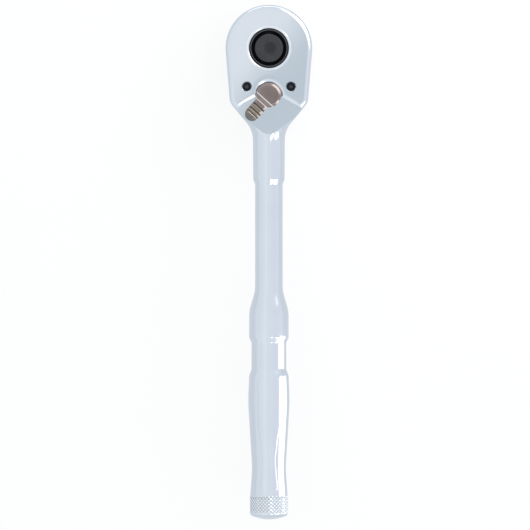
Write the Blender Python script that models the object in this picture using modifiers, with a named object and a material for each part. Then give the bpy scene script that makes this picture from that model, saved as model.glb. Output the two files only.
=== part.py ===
"""Quick-release ratchet with a 3/8 inch square drive, as an assembly of separate pieces.

Metres, +Z up. The origin is the centre of the drive square's tip and the drive axis is Z.
The button and the reversing lever are on the +Z side, and the handle runs along -Y.
"""

import math

import bmesh
import bpy
from mathutils import Vector

# Overall
OVERALL_LENGTH = 0.190

# Fits
RUN = 0.00015
GAP = 0.0003
SEAL_GAP = 0.00008

# Drive square and its front journal
DRIVE_SQUARE = 0.009525
SQUARE_LENGTH = 0.0105
SQUARE_CHAMFER = 0.0008
SQUARE_CORNER = 0.0007
COLLAR_MARGIN = 0.0002
COLLAR_STAND = 0.0011

# Quick-release ball, pin and spring
BALL_RADIUS = 0.0015875
BALL_HEIGHT = 0.0052
BALL_STAND = 0.0007
BALL_RETRACT = 0.0008
PIN_NOSE = 0.0009
PIN_LAND = 0.00045
PIN_RAMP = 0.0016
PIN_NECK_LENGTH = 0.0015
PIN_SHOULDER = 0.0008
PIN_GRIP = 0.0017
SPRING_WIRE = 0.0003
SPRING_TURNS = 7
SPRING_WELL = 0.0059

# Release button and the ring that keeps it in
BUTTON_RADIUS = 0.0052
BUTTON_PROUD = 0.0006
BUTTON_TRAVEL = 0.0024
BUTTON_EDGE = 0.0004
BUTTON_DISH_RADIUS = 0.0036
BUTTON_DISH_DEPTH = 0.0005
FLANGE_THICKNESS = 0.0023
RING_BAND = 0.0011
RING_SEAT = 0.00045
RING_DEPTH = 0.0004
RING_THICKNESS = 0.0006
RING_OPENING = math.radians(34)
JOURNAL_WALL = 0.00095
JOURNAL_EDGE = 0.00025

# Gear
GEAR_TEETH = 72
GEAR_STEP = 0.00195
TOOTH_DEPTH = 0.00055
TOOTH_CREST = 0.10
TOOTH_FOOT = 0.40
GEAR_THICKNESS = 0.0064
WASHER_THICKNESS = 0.0006
WASHER_MARGIN = 0.0004
GEAR_ROOM = 0.00045
CAVITY_MOUTH = math.radians(62)

# Pawl, its pin and the plunger that pushes it
PAWL_PIN_RADIUS = 0.0010
PAWL_PIN_SEAT = 0.0012
PAWL_FRONT_GAP = 0.0005
PAWL_WALL = 0.0009
PAWL_DEPTH = 0.0019
PAWL_THICKNESS = 0.0054
PAWL_MESH_GAP = 0.00015
PAWL_TEETH = (5, 6, 7, 8)
PAWL_ROCK = math.radians(6.5)
PAWL_HEEL = 0.0026
PAWL_NOTCH = 0.0008
PAWL_ROOM = 0.0008
PLUNGER_RADIUS = 0.00085
PLUNGER_STAND = 0.00055
PLUNGER_LENGTH = 0.0025
PLUNGER_SPRING_WIRE = 0.00013
PLUNGER_SPRING_LENGTH = 0.0017
PLUNGER_SPRING_TURNS = 2

# Reversing lever
LEVER_REST = math.radians(-42.0)
SHAFT_RADIUS = 0.0022
HUB_RADIUS = 0.00445
HUB_THICKNESS = 0.0023
HUB_EDGE = 0.0005
ARM_WIDTH = 0.0052
ARM_LENGTH = 0.0119
ARM_DROP = 0.0010
ARM_TIP_DROP = 0.0015
ARM_SLOPE_START = 0.0021
ARM_SLOPE_END = 0.0039
SERRATION_START = 0.0057
SERRATION_PITCH = 0.00174
SERRATION_COUNT = 3
SERRATION_RADIUS = 0.00042
CLIP_BAND = 0.0009
CLIP_SEAT = 0.0005
CLIP_THICKNESS = 0.00045
CLIP_OPENING = math.radians(80)
WELL_MOUTH = math.radians(20)

# Seals
SEAL_RADIUS = 0.0004
LEVER_SEAL_RADIUS = 0.0003
SEAL_GROOVE_MARGIN = 0.00015

# Head
HEAD_WALL = 0.0058
BACK_WALL = 0.0055
LIP_HEIGHT = 0.0004
LIP_BAND = 0.0007
LIP_FOOT = 0.0005
HEAD_EDGE = 0.0018
POCKET_DEPTH = 0.0015
POCKET_CLEARANCE = 0.0003
POCKET_FLARE = 0.0017
POCKET_FLARE_DEPTH = 0.0007
POCKET_WALL_ANGLE = math.radians(61)
POCKET_WALL_OFFSET = 0.0018
SHOULDER_TAPER = 0.0016
SHOULDER_BELOW_LEVER = 0.0026
SHOULDER_FILLET = 0.0044

# Cover plate and its screws
COVER_THICKNESS = 0.0020
COVER_LEDGE = 0.0022
COVER_CORNER = 0.0030
SCREW_WEB = 0.00171
SCREW_ABOVE_LEVER = 0.0032
SCREW_LEDGE = 0.0029
SCREW_RADIUS = 0.0012
SCREW_HEAD_RADIUS = 0.00165
SCREW_HEAD_HEIGHT = 0.0016
SCREW_HEAD_SUNK = 0.00025
SCREW_SOCKET_RADIUS = 0.0010
SCREW_SOCKET_DEPTH = 0.0009

# Neck, shank and grip: radii, and lengths along the handle
NECK_STEP = 0.00075
NECK_RADIUS = 0.00595
NECK_END_RADIUS = 0.0058
FLARE_LENGTH = 0.0103
FLARE_FILLET = 0.0103
CROWN_BELOW_SHOULDER = 0.0040
CROWN_LENGTH = 0.0122
NECK_LENGTH = 0.0181
COLLAR_RAMP = 0.0019
SHANK_RADIUS = 0.0051
SWELL_LENGTH = 0.0075
SWELL_FILLET = 0.0140
BULGE_RADIUS = 0.0073
BULGE_LENGTH = 0.0098
GROOVE_RADIUS = 0.00643
GROOVE_RAMP = 0.0019
GROOVE_LENGTH = 0.0097
GRIP_RAMP = 0.0025
GRIP_RADIUS = 0.0073
BELLY_RADIUS = 0.0077
BELLY_LENGTH = 0.0096
BELLY_FILLET = 0.060
WAIST_RADIUS = 0.0062
WAIST_LENGTH = 0.0245
WAIST_FILLET = 0.040
END_RADIUS = 0.0070
END_RISE_LENGTH = 0.0115
END_FILLET = 0.015
KNURL_LENGTH = 0.0067
RIM_FILLET = 0.0030
DOME = 0.0008
STEP_FILLET = 0.0008

# Facets
ROUND_STEPS = 36
SMALL_STEPS = 24
PLUNGER_STEPS = 16
SEAL_SIDES = 6
SOCKET_SIDES = 6
SERRATION_SIDES = 8
BALL_SEGMENTS = 16
BALL_RINGS = 10
TIP_STEPS = 14
CORNER_STEPS = 5
SECTION_STEPS = 6
FLARE_STATION = 0.0013
CURL_POINTS = 9
FACET = 0.00005
SHARP_ANGLE = math.radians(35)
FLAT_ANGLE = math.radians(0.5)
WELD = 1e-7
CUT_PAST = 0.002

# Radii that follow from the sizes above
PIN_RADIUS = DRIVE_SQUARE / 2 + BALL_STAND - 2 * BALL_RADIUS - GAP
PIN_NECK_RADIUS = PIN_RADIUS - BALL_RETRACT
COIL_RADIUS = PIN_RADIUS + GAP + SPRING_WIRE
SPRING_BORE_RADIUS = COIL_RADIUS + SPRING_WIRE + GAP
BUTTON_POCKET_RADIUS = BUTTON_RADIUS + RING_BAND
RING_GROOVE_RADIUS = BUTTON_POCKET_RADIUS + RING_SEAT
REAR_JOURNAL_RADIUS = BUTTON_POCKET_RADIUS + JOURNAL_WALL
FRONT_JOURNAL_RADIUS = DRIVE_SQUARE / math.sqrt(2) + COLLAR_MARGIN
GEAR_ROOT_RADIUS = max(REAR_JOURNAL_RADIUS, FRONT_JOURNAL_RADIUS) + GEAR_STEP
GEAR_TIP_RADIUS = GEAR_ROOT_RADIUS + TOOTH_DEPTH
CAVITY_RADIUS = GEAR_TIP_RADIUS + GEAR_ROOM
HEAD_RADIUS = CAVITY_RADIUS + HEAD_WALL
PAWL_HOLE_RADIUS = PAWL_PIN_RADIUS + RUN
PLUNGER_REACH = SHAFT_RADIUS + PLUNGER_STAND
SHAFT_BORE_RADIUS = SHAFT_RADIUS + RUN
POCKET_RADIUS = HUB_RADIUS + POCKET_CLEARANCE
POCKET_REACH = 2 * FLARE_LENGTH
CLIP_INNER_RADIUS = SHAFT_RADIUS - CLIP_SEAT + SEAL_GAP
CLIP_RADIUS = CLIP_INNER_RADIUS + CLIP_BAND
LEVER_WELL_RADIUS = max(CLIP_RADIUS, PLUNGER_REACH) + GEAR_ROOM
SCREW_HOLE_RADIUS = SCREW_RADIUS + RUN

# Heights that follow, from the tip of the square up to the button
FRONT_Z = SQUARE_LENGTH + COLLAR_STAND
COVER_TOP_Z = FRONT_Z + COVER_THICKNESS
SEAT_Z = COVER_TOP_Z + SEAL_GAP
GEAR_Z = COVER_TOP_Z + WASHER_THICKNESS + 2 * GAP
GEAR_TOP_Z = GEAR_Z + GEAR_THICKNESS
CEILING_Z = GEAR_TOP_Z + GAP
BACK_Z = CEILING_Z + BACK_WALL
LIP_Z = BACK_Z + LIP_HEIGHT
FLOOR_Z = BACK_Z - POCKET_DEPTH
AXIS_Z = FLOOR_Z - NECK_STEP - NECK_RADIUS
RING_Z = LIP_Z - RING_DEPTH - RING_THICKNESS
FLANGE_TOP_Z = RING_Z - GAP
FLANGE_Z = FLANGE_TOP_Z - FLANGE_THICKNESS
POCKET_FLOOR_Z = FLANGE_Z - BUTTON_TRAVEL - GAP
SPRING_Z = POCKET_FLOOR_Z - SPRING_WELL
PIN_TOP_Z = FLANGE_Z + PIN_GRIP
PIN_Z = BALL_HEIGHT - PIN_NOSE
BORE_Z = PIN_Z - BUTTON_TRAVEL - GAP
HUB_Z = FLOOR_Z + GAP
HUB_TOP_Z = HUB_Z + HUB_THICKNESS
PAWL_TOP_Z = GEAR_Z + PAWL_THICKNESS
PLUNGER_Z = (GEAR_Z + PAWL_TOP_Z) / 2
CLIP_Z = CEILING_Z - GAP - CLIP_THICKNESS
REAR_SEAL_Z = (CEILING_Z + BACK_Z) / 2
LEVER_SEAL_Z = (CEILING_Z + FLOOR_Z) / 2
FRONT_SEAL_Z = (FRONT_Z + COVER_TOP_Z) / 2
SCREW_TOP_Z = BACK_Z - SCREW_HEAD_SUNK
SCREW_SEAT_Z = SCREW_TOP_Z - SCREW_HEAD_HEIGHT

# Places that follow, from the drive axis down to the collar, and from the end of the grip up to the shank
PAWL_Y = -(GEAR_TIP_RADIUS + PAWL_FRONT_GAP + PAWL_WALL + PAWL_HOLE_RADIUS)
LEVER_Y = PAWL_Y - PAWL_HOLE_RADIUS - PAWL_WALL - GAP - PLUNGER_REACH
SCREW_X = POCKET_RADIUS + POCKET_FLARE + SCREW_WEB
SCREW_Y = LEVER_Y + SCREW_ABOVE_LEVER
SHOULDER_X = HEAD_RADIUS - SHOULDER_TAPER
SHOULDER_Y = LEVER_Y - SHOULDER_BELOW_LEVER
CROWN_Y = SHOULDER_Y - CROWN_BELOW_SHOULDER
NECK_Y = SHOULDER_Y - FLARE_LENGTH
COLLAR_Y = NECK_Y - NECK_LENGTH
SHANK_Y = COLLAR_Y - COLLAR_RAMP
END_Y = HEAD_RADIUS - OVERALL_LENGTH
RIM_Y = END_Y + DOME
KNURL_Y = RIM_Y + KNURL_LENGTH
WAIST_Y = KNURL_Y + END_RISE_LENGTH
BELLY_Y = WAIST_Y + WAIST_LENGTH
GRIP_Y = BELLY_Y + BELLY_LENGTH
GROOVE_END_Y = GRIP_Y + GRIP_RAMP
GROOVE_Y = GROOVE_END_Y + GROOVE_LENGTH
BULGE_END_Y = GROOVE_Y + GROOVE_RAMP
BULGE_Y = BULGE_END_Y + BULGE_LENGTH
SWELL_Y = BULGE_Y + SWELL_LENGTH

FINISHES = {
    "chrome": ((0.78, 0.81, 0.85), 1.0, 0.10),
    "black_oxide": ((0.018, 0.019, 0.022), 0.8, 0.38),
    "button_grey": ((0.055, 0.056, 0.060), 0.5, 0.45),
    "satin_nickel": ((0.47, 0.43, 0.40), 1.0, 0.30),
    "bright_steel": ((0.62, 0.62, 0.63), 1.0, 0.22),
    "spring_steel": ((0.42, 0.42, 0.44), 1.0, 0.30),
    "seal_rubber": ((0.015, 0.015, 0.016), 0.0, 0.70),
}


def clear_scene():
    for obj in list(bpy.data.objects):
        bpy.data.objects.remove(obj, do_unlink=True)
    for collection in list(bpy.data.collections):
        bpy.data.collections.remove(collection)


def make_collection(name):
    collection = bpy.data.collections.new(name)
    bpy.context.scene.collection.children.link(collection)
    return collection


def make_finishes():
    finishes = {}
    for name, (colour, metallic, roughness) in FINISHES.items():
        finish = bpy.data.materials.new(name)
        finish.use_nodes = True
        shader = finish.node_tree.nodes["Principled BSDF"]
        shader.inputs["Base Color"].default_value = (*colour, 1.0)
        shader.inputs["Metallic"].default_value = metallic
        shader.inputs["Roughness"].default_value = roughness
        finishes[name] = finish
    return finishes


def arc(centre, radius, start, end, steps):
    """Points on an arc, from one angle to the other, with both ends."""
    turns = [start + (end - start) * i / steps for i in range(steps + 1)]
    return [Vector((centre[0] + radius * math.cos(t), centre[1] + radius * math.sin(t))) for t in turns]


def from_handle(radius, angle):
    """The point at a radius from the drive axis, at an angle from the handle's direction towards +X."""
    return Vector((radius * math.sin(angle), -radius * math.cos(angle)))


def spun(arm, angle):
    """A flat vector turned anticlockwise."""
    return Vector((
        arm.x * math.cos(angle) - arm.y * math.sin(angle),
        arm.x * math.sin(angle) + arm.y * math.cos(angle)))


def rounded(corners):
    """A path through corners (x, y, fillet radius), with its inner corners rounded to within a facet."""
    path = [Vector(corners[0][:2])]
    for before, corner, after in zip(corners, corners[1:], corners[2:]):
        here = Vector(corner[:2])
        back = Vector(before[:2]) - here
        ahead = Vector(after[:2]) - here
        opening = back.angle(ahead)
        reach = min(corner[2] / math.tan(opening / 2), back.length / 2, ahead.length / 2)
        halfway = (back.normalized() + ahead.normalized()).normalized()
        middle = here + halfway * reach / math.cos(opening / 2)
        first = here + back.normalized() * reach - middle
        last = here + ahead.normalized() * reach - middle
        sweep = -first.angle_signed(last)
        steps = math.ceil(abs(sweep) / (2 * math.acos(max(1 - FACET / first.length, 0))))
        path += [middle + spun(first, sweep * i / steps) for i in range(steps + 1)]
    return path + [Vector(corners[-1][:2])]


def mirrored(half):
    """A closed outline from its right half, which runs from top to bottom."""
    return half + [Vector((-p.x, p.y)) for p in reversed(half) if p.x > WELD]


def add_mesh(name, mesh):
    obj = bpy.data.objects.new(name, mesh)
    parts.objects.link(obj)
    return obj


def shade_round(mesh):
    mesh.shade_smooth()
    mesh.set_sharp_from_angle(angle=SHARP_ANGLE)


def mesh_from_curve(curve):
    """The curve's evaluated surface as a welded mesh object in the same place."""
    holder = bpy.data.objects.new(curve.name + "_curve", curve)
    parts.objects.link(holder)
    depsgraph = bpy.context.evaluated_depsgraph_get()
    mesh = bpy.data.meshes.new_from_object(holder.evaluated_get(depsgraph))
    weld = bmesh.new()
    weld.from_mesh(mesh)
    bmesh.ops.remove_doubles(weld, verts=weld.verts, dist=WELD)
    bmesh.ops.recalc_face_normals(weld, faces=weld.faces)
    weld.to_mesh(mesh)
    weld.free()
    obj = add_mesh(curve.name, mesh)
    obj.matrix_world = holder.matrix_world
    bpy.data.objects.remove(holder)
    shade_round(mesh)
    return obj


def slab(name, outline, low, high, bevel=0.0):
    """A flat outline raised from low to high. A bevel spreads its sides outwards at 45 degrees."""
    curve = bpy.data.curves.new(name, "CURVE")
    curve.dimensions = "2D"
    curve.fill_mode = "BOTH"
    curve.extrude = (high - low) / 2 - bevel
    curve.bevel_depth = bevel
    curve.bevel_resolution = 0
    spline = curve.splines.new("POLY")
    spline.points.add(len(outline) - 1)
    for point, place in zip(spline.points, outline):
        point.co = (place[0], place[1], 0.0, 1.0)
    spline.use_cyclic_u = True
    obj = mesh_from_curve(curve)
    obj.location.z = (low + high) / 2
    return obj


def tapered(name, low_outline, high_outline, low, high):
    """A solid between two outlines at two heights, with the same count of points."""
    count = len(low_outline)
    mesh = bpy.data.meshes.new(name)
    places = [(*p, low) for p in low_outline] + [(*p, high) for p in high_outline]
    sides = [(i, (i + 1) % count, (i + 1) % count + count, i + count) for i in range(count)]
    caps = [tuple(range(count)), tuple(range(count, 2 * count))]
    mesh.from_pydata(places, [], sides + caps)
    solid = bmesh.new()
    solid.from_mesh(mesh)
    bmesh.ops.recalc_face_normals(solid, faces=solid.faces)
    solid.to_mesh(mesh)
    solid.free()
    return add_mesh(name, mesh)


def turned(name, profile, steps=ROUND_STEPS, closed=False):
    """A solid of revolution. The profile of (radius, z) runs down its outer side."""
    mesh = bpy.data.meshes.new(name)
    edges = [(i, i + 1) for i in range(len(profile) - 1)]
    if closed:
        edges.append((len(profile) - 1, 0))
    mesh.from_pydata([(r, 0.0, z) for r, z in profile], edges, [])
    obj = add_mesh(name, mesh)
    screw = obj.modifiers.new("revolve", "SCREW")
    screw.steps = steps
    screw.render_steps = steps
    screw.use_merge_vertices = True
    screw.merge_threshold = WELD
    screw.use_smooth_shade = False
    return obj


def cylinder(name, radius, low, high, steps=ROUND_STEPS):
    bpy.ops.mesh.primitive_cylinder_add(vertices=steps, radius=radius, depth=high - low)
    obj = take_new(name)
    obj.location.z = (low + high) / 2
    return obj


def torus(name, radius, tube):
    bpy.ops.mesh.primitive_torus_add(
        major_segments=ROUND_STEPS, minor_segments=SEAL_SIDES, major_radius=radius, minor_radius=tube)
    obj = take_new(name)
    shade_round(obj.data)
    return obj


def take_new(name):
    """Names the object that an operator has just added and moves it to the parts."""
    obj = bpy.context.active_object
    obj.name = name
    obj.data.name = name
    for collection in list(obj.users_collection):
        collection.objects.unlink(obj)
    parts.objects.link(obj)
    return obj


def coil(name, radius, wire, length, turns):
    """A compression spring along +Z from z = 0, as one tube."""
    count = turns * CURL_POINTS
    rise = length - 2 * wire
    path = []
    for i in range(count + 1):
        turn = 2 * math.pi * i / CURL_POINTS
        path.append(Vector((radius * math.cos(turn), radius * math.sin(turn), wire + rise * i / count)))
    pairs = [(a, b) for i, a in enumerate(path) for b in path[i + CURL_POINTS // 2:]]
    least_gap = min((a - b).length for a, b in pairs) - 2 * wire
    print(f"{name}: least gap between turns {least_gap * 1000:.2f} mm")
    curve = bpy.data.curves.new(name, "CURVE")
    curve.dimensions = "3D"
    curve.bevel_depth = wire
    curve.bevel_resolution = 1
    curve.use_fill_caps = True
    spline = curve.splines.new("POLY")
    spline.points.add(count)
    for point, place in zip(spline.points, path):
        point.co = (*place, 1.0)
    return mesh_from_curve(curve)


def combine(target, tool, operation):
    boolean = target.modifiers.new(tool.name, "BOOLEAN")
    boolean.operation = operation
    boolean.solver = "EXACT"
    boolean.object = tool
    tool.hide_render = True
    tool.display_type = "WIRE"
    parts.objects.unlink(tool)
    cutters.objects.link(tool)


def cut(target, *tools):
    for tool in tools:
        combine(target, tool, "DIFFERENCE")


def fuse(target, *tools):
    for tool in tools:
        combine(target, tool, "UNION")


def split_ring(name, inner, outer, low, high, opening, facing):
    """A flat ring with an opening, centred on the angle it faces."""
    start = facing + opening / 2
    end = facing - opening / 2 + 2 * math.pi
    outline = arc((0, 0), outer, start, end, SMALL_STEPS) + arc((0, 0), inner, end, start, SMALL_STEPS)
    return slab(name, outline, low, high)


def smooth_step(value):
    value = min(max(value, 0.0), 1.0)
    return value * value * (3 - 2 * value)


def mix(first, second, share):
    return first + (second - first) * share


def plan_outline():
    """The right side of the forging seen from the back, from the head's tip to the end of the grip."""
    shoulder = Vector((SHOULDER_X, SHOULDER_Y))
    tangent = math.atan2(shoulder.y, shoulder.x) + math.acos(HEAD_RADIUS / shoulder.length)
    tip = arc((0, 0), HEAD_RADIUS, math.pi / 2, tangent, TIP_STEPS)
    side = rounded([
        (*tip[-1], 0),
        (SHOULDER_X, SHOULDER_Y, SHOULDER_FILLET),
        (NECK_RADIUS, NECK_Y, FLARE_FILLET),
        (NECK_END_RADIUS, COLLAR_Y, STEP_FILLET),
        (SHANK_RADIUS, SHANK_Y, STEP_FILLET),
        (SHANK_RADIUS, SWELL_Y, SWELL_FILLET),
        (BULGE_RADIUS, BULGE_Y, SWELL_FILLET),
        (BULGE_RADIUS, BULGE_END_Y, STEP_FILLET),
        (GROOVE_RADIUS, GROOVE_Y, STEP_FILLET),
        (GROOVE_RADIUS, GROOVE_END_Y, STEP_FILLET),
        (GRIP_RADIUS, GRIP_Y, STEP_FILLET),
        (BELLY_RADIUS, BELLY_Y, BELLY_FILLET),
        (WAIST_RADIUS, WAIST_Y, WAIST_FILLET),
        (END_RADIUS, KNURL_Y, END_FILLET),
        (END_RADIUS, RIM_Y, RIM_FILLET),
        (0, END_Y, 0)])
    return tip[:-1] + side


def with_flare_stations(outline):
    """Adds points between the shoulder and the round neck, where the section changes fastest."""
    dense = [outline[0]]
    for before, after in zip(outline, outline[1:]):
        in_flare = SHOULDER_Y - SHOULDER_FILLET / 2 >= before.y > CROWN_Y - CROWN_LENGTH
        pieces = math.ceil((after - before).length / FLARE_STATION) if in_flare else 1
        dense += [before.lerp(after, i / pieces) for i in range(1, pieces + 1)]
    return dense


def half_section(point, inward):
    """One station's half section, from the top of the centre line round the side to the bottom."""
    share = smooth_step((CROWN_Y - point.y) / CROWN_LENGTH)
    edge = mix(HEAD_EDGE, point.x, share)
    top = mix(BACK_Z, AXIS_Z + point.x, share)
    bottom = mix(FRONT_Z, AXIS_Z - point.x, share)
    quarter = [math.pi / 2 * i / SECTION_STEPS for i in range(SECTION_STEPS + 1)]
    upper = [(edge * (1 - math.cos(t)), top - edge + edge * math.sin(t)) for t in reversed(quarter)]
    lower = [(edge * (1 - math.cos(t)), bottom + edge - edge * math.sin(t)) for t in quarter]
    section = [(point + inward * depth, z) for depth, z in upper + lower]
    middle = (point + inward * edge).y
    ring = [(max(place.x, 0.0), place.y, z) for place, z in section]
    return [(0.0, middle, top)] + ring + [(0.0, middle, bottom)]


def forging():
    """The handle's outer form: half sections lofted along the plan outline, and mirrored."""
    outline = with_flare_stations(plan_outline())
    loft = bmesh.new()
    rings = []
    for i, point in enumerate(outline):
        along = (outline[min(i + 1, len(outline) - 1)] - outline[max(i - 1, 0)]).normalized()
        share = smooth_step((CROWN_Y - point.y) / CROWN_LENGTH)
        inward = Vector((along.y, -along.x)) if i else Vector((0.0, -1.0))
        inward = inward.lerp(Vector((-1.0, 0.0)), share).normalized()
        rings.append([loft.verts.new(place) for place in half_section(point, inward)])
    for ring, following in zip(rings, rings[1:]):
        for a, b, c, d in zip(ring, ring[1:], following[1:], following):
            loft.faces.new((a, d, c, b))
    bmesh.ops.remove_doubles(loft, verts=loft.verts, dist=WELD)
    bmesh.ops.dissolve_degenerate(loft, edges=loft.edges, dist=WELD)
    bmesh.ops.dissolve_limit(loft, angle_limit=FLAT_ANGLE, verts=loft.verts, edges=loft.edges)
    mesh = bpy.data.meshes.new("handle_body")
    loft.to_mesh(mesh)
    loft.free()
    shade_round(mesh)
    obj = add_mesh("handle_body", mesh)
    mirror = obj.modifiers.new("mirror", "MIRROR")
    mirror.merge_threshold = WELD
    return obj


def pocket_outline(spread):
    """The lever's clearance round its axis: a circle at the hub and walls that open out to the neck."""
    along = from_handle(1, POCKET_WALL_ANGLE)
    across = Vector((-along.y, along.x))
    radius = POCKET_RADIUS + spread
    offset = POCKET_WALL_OFFSET + spread
    meet = across * offset + along * math.sqrt(radius ** 2 - offset ** 2)
    far = across * offset + along * POCKET_REACH
    hub = arc((0, 0), radius, math.pi / 2, math.atan2(meet.y, meet.x), CORNER_STEPS)
    return mirrored(hub + [far, Vector((far.x, -POCKET_REACH))])


def lever_pocket():
    """A straight well for the lever, and a rim round it that leans out to the face."""
    well = slab("lever_well", pocket_outline(0), FLOOR_Z, BACK_Z + CUT_PAST)
    lean = POCKET_FLARE / POCKET_FLARE_DEPTH
    rim = tapered(
        "pocket_rim", pocket_outline(-SEAL_GAP * lean), pocket_outline(POCKET_FLARE + LIP_HEIGHT * lean),
        BACK_Z - POCKET_FLARE_DEPTH - SEAL_GAP, LIP_Z)
    for tool in (well, rim):
        tool.location.y = LEVER_Y
    return well, rim


def cavity_outline():
    """The room inside the head for the gear, the pawl and the lever's shaft."""
    gear_side = arc((0, 0), CAVITY_RADIUS, math.pi / 2, CAVITY_MOUTH - math.pi / 2, TIP_STEPS)
    pivot = Vector((0, PAWL_Y))
    inner_end, outer_end = pawl_end()
    near = inner_end - pivot
    away = spun(outer_end - pivot, -2 * PAWL_ROCK)
    elbows = [pivot + arm + arm.normalized() * PAWL_ROOM for arm in (near, away)]
    well = arc((0, LEVER_Y), LEVER_WELL_RADIUS, WELL_MOUTH, -math.pi / 2, CORNER_STEPS)
    heel = Vector((LEVER_WELL_RADIUS + PAWL_ROOM, PAWL_Y - PAWL_HEEL))
    return mirrored(gear_side + elbows + [heel] + well)


def cover_outline(spread):
    """The cover plate's edge, or its seat when spread by a clearance."""
    radius = CAVITY_RADIUS + COVER_LEDGE + spread
    corner = Vector((SCREW_X + SCREW_LEDGE + spread, LEVER_Y))
    low_y = LEVER_Y - LEVER_WELL_RADIUS - COVER_LEDGE - spread
    tangent = math.atan2(corner.y, corner.x) + math.acos(radius / corner.length)
    tip = arc((0, 0), radius, math.pi / 2, tangent, TIP_STEPS)
    side = rounded([
        (*tip[-1], 0),
        (*corner, COVER_CORNER),
        (LEVER_WELL_RADIUS + COVER_LEDGE + spread, low_y, COVER_CORNER),
        (0, low_y, 0)])
    return mirrored(tip[:-1] + side[:-1])


def seal_groove(radius, middle, depth_to):
    """Profile points of a groove for a round seal, from its upper edge to its lower edge."""
    half = SEAL_RADIUS + SEAL_GROOVE_MARGIN
    return [
        (radius, middle + half),
        (depth_to, middle + half),
        (depth_to, middle - half),
        (radius, middle - half)]


def handle_body():
    body = forging()
    lip_inner = REAR_JOURNAL_RADIUS + RUN
    lip_outer = lip_inner + LIP_BAND
    lip = turned("lip", [
        (0, LIP_Z),
        (lip_outer, LIP_Z),
        (lip_outer + 2 * LIP_FOOT, LIP_Z - 2 * LIP_HEIGHT),
        (0, LIP_Z - 2 * LIP_HEIGHT)])
    fuse(body, lip)
    groove_radius = REAR_JOURNAL_RADIUS + 2 * (SEAL_RADIUS + SEAL_GAP)
    bore = turned("journal_bore", [
        (0, LIP_Z + CUT_PAST),
        (lip_inner, LIP_Z + CUT_PAST),
        *seal_groove(lip_inner, REAR_SEAL_Z, groove_radius),
        (lip_inner, CEILING_Z - CUT_PAST),
        (0, CEILING_Z - CUT_PAST)])
    cavity = slab("cavity", cavity_outline(), FRONT_Z - CUT_PAST, CEILING_Z)
    seat = slab("cover_seat", cover_outline(GAP), FRONT_Z - 2 * CUT_PAST, SEAT_Z)
    shaft_bore = cylinder("shaft_bore", SHAFT_BORE_RADIUS, CEILING_Z - CUT_PAST, BACK_Z, SMALL_STEPS)
    shaft_bore.location.y = LEVER_Y
    pin_hole = cylinder(
        "pin_hole", PAWL_HOLE_RADIUS, CEILING_Z - CUT_PAST, CEILING_Z + PAWL_PIN_SEAT + GAP, SMALL_STEPS)
    pin_hole.location.y = PAWL_Y
    cut(body, *lever_pocket(), bore, cavity, seat, shaft_bore, pin_hole)
    for side, sign in (("left", -1), ("right", 1)):
        hole = turned("screw_hole_" + side, [
            (0, BACK_Z + CUT_PAST),
            (SCREW_HEAD_RADIUS + RUN, BACK_Z + CUT_PAST),
            (SCREW_HEAD_RADIUS + RUN, SCREW_SEAT_Z - SEAL_GAP),
            (SCREW_HOLE_RADIUS, SCREW_SEAT_Z - SEAL_GAP),
            (SCREW_HOLE_RADIUS, FRONT_Z),
            (0, FRONT_Z)], SMALL_STEPS)
        hole.location = (sign * SCREW_X, SCREW_Y, 0)
        cut(body, hole)
    return body


def cover_plate():
    plate = slab("cover_plate", cover_outline(0.0), FRONT_Z, COVER_TOP_Z)
    opening = cylinder(
        "cover_opening", FRONT_JOURNAL_RADIUS + RUN, FRONT_Z - CUT_PAST, COVER_TOP_Z + CUT_PAST)
    pin_floor = COVER_TOP_Z - PAWL_PIN_SEAT - GAP
    pin_hole = cylinder("cover_pin_hole", PAWL_HOLE_RADIUS, pin_floor, COVER_TOP_Z + CUT_PAST, SMALL_STEPS)
    pin_hole.location.y = PAWL_Y
    cut(plate, opening, pin_hole)
    for side, sign in (("left", -1), ("right", 1)):
        hole = cylinder(
            "cover_screw_hole_" + side, SCREW_HOLE_RADIUS, FRONT_Z - CUT_PAST, COVER_TOP_Z + CUT_PAST,
            SMALL_STEPS)
        hole.location.x = sign * SCREW_X
        hole.location.y = SCREW_Y
        cut(plate, hole)
    return plate


def cover_screw(side, sign):
    screw = turned("cover_screw_" + side, [
        (0, SCREW_TOP_Z),
        (SCREW_HEAD_RADIUS, SCREW_TOP_Z),
        (SCREW_HEAD_RADIUS, SCREW_SEAT_Z),
        (SCREW_RADIUS, SCREW_SEAT_Z),
        (SCREW_RADIUS, FRONT_Z + GAP),
        (0, FRONT_Z + GAP)], SMALL_STEPS)
    screw.location = (sign * SCREW_X, SCREW_Y, 0)
    socket_z = SCREW_TOP_Z - SCREW_SOCKET_DEPTH
    socket = cylinder(
        "screw_socket_" + side, SCREW_SOCKET_RADIUS, socket_z, SCREW_TOP_Z + CUT_PAST, SOCKET_SIDES)
    socket.location.x = screw.location.x
    socket.location.y = SCREW_Y
    cut(screw, socket)
    return screw


def gear_outline(clearance, teeth):
    """The points of some teeth, each counted in whole pitches from the handle's direction towards +X."""
    pitch = 2 * math.pi / GEAR_TEETH
    root = GEAR_ROOT_RADIUS + clearance
    tip = GEAR_TIP_RADIUS + clearance
    outline = []
    shape = ((root, -TOOTH_FOOT), (tip, -TOOTH_CREST), (tip, TOOTH_CREST), (root, TOOTH_FOOT))
    for tooth in teeth:
        outline += [from_handle(radius, (tooth + place) * pitch) for radius, place in shape]
    return outline


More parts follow.
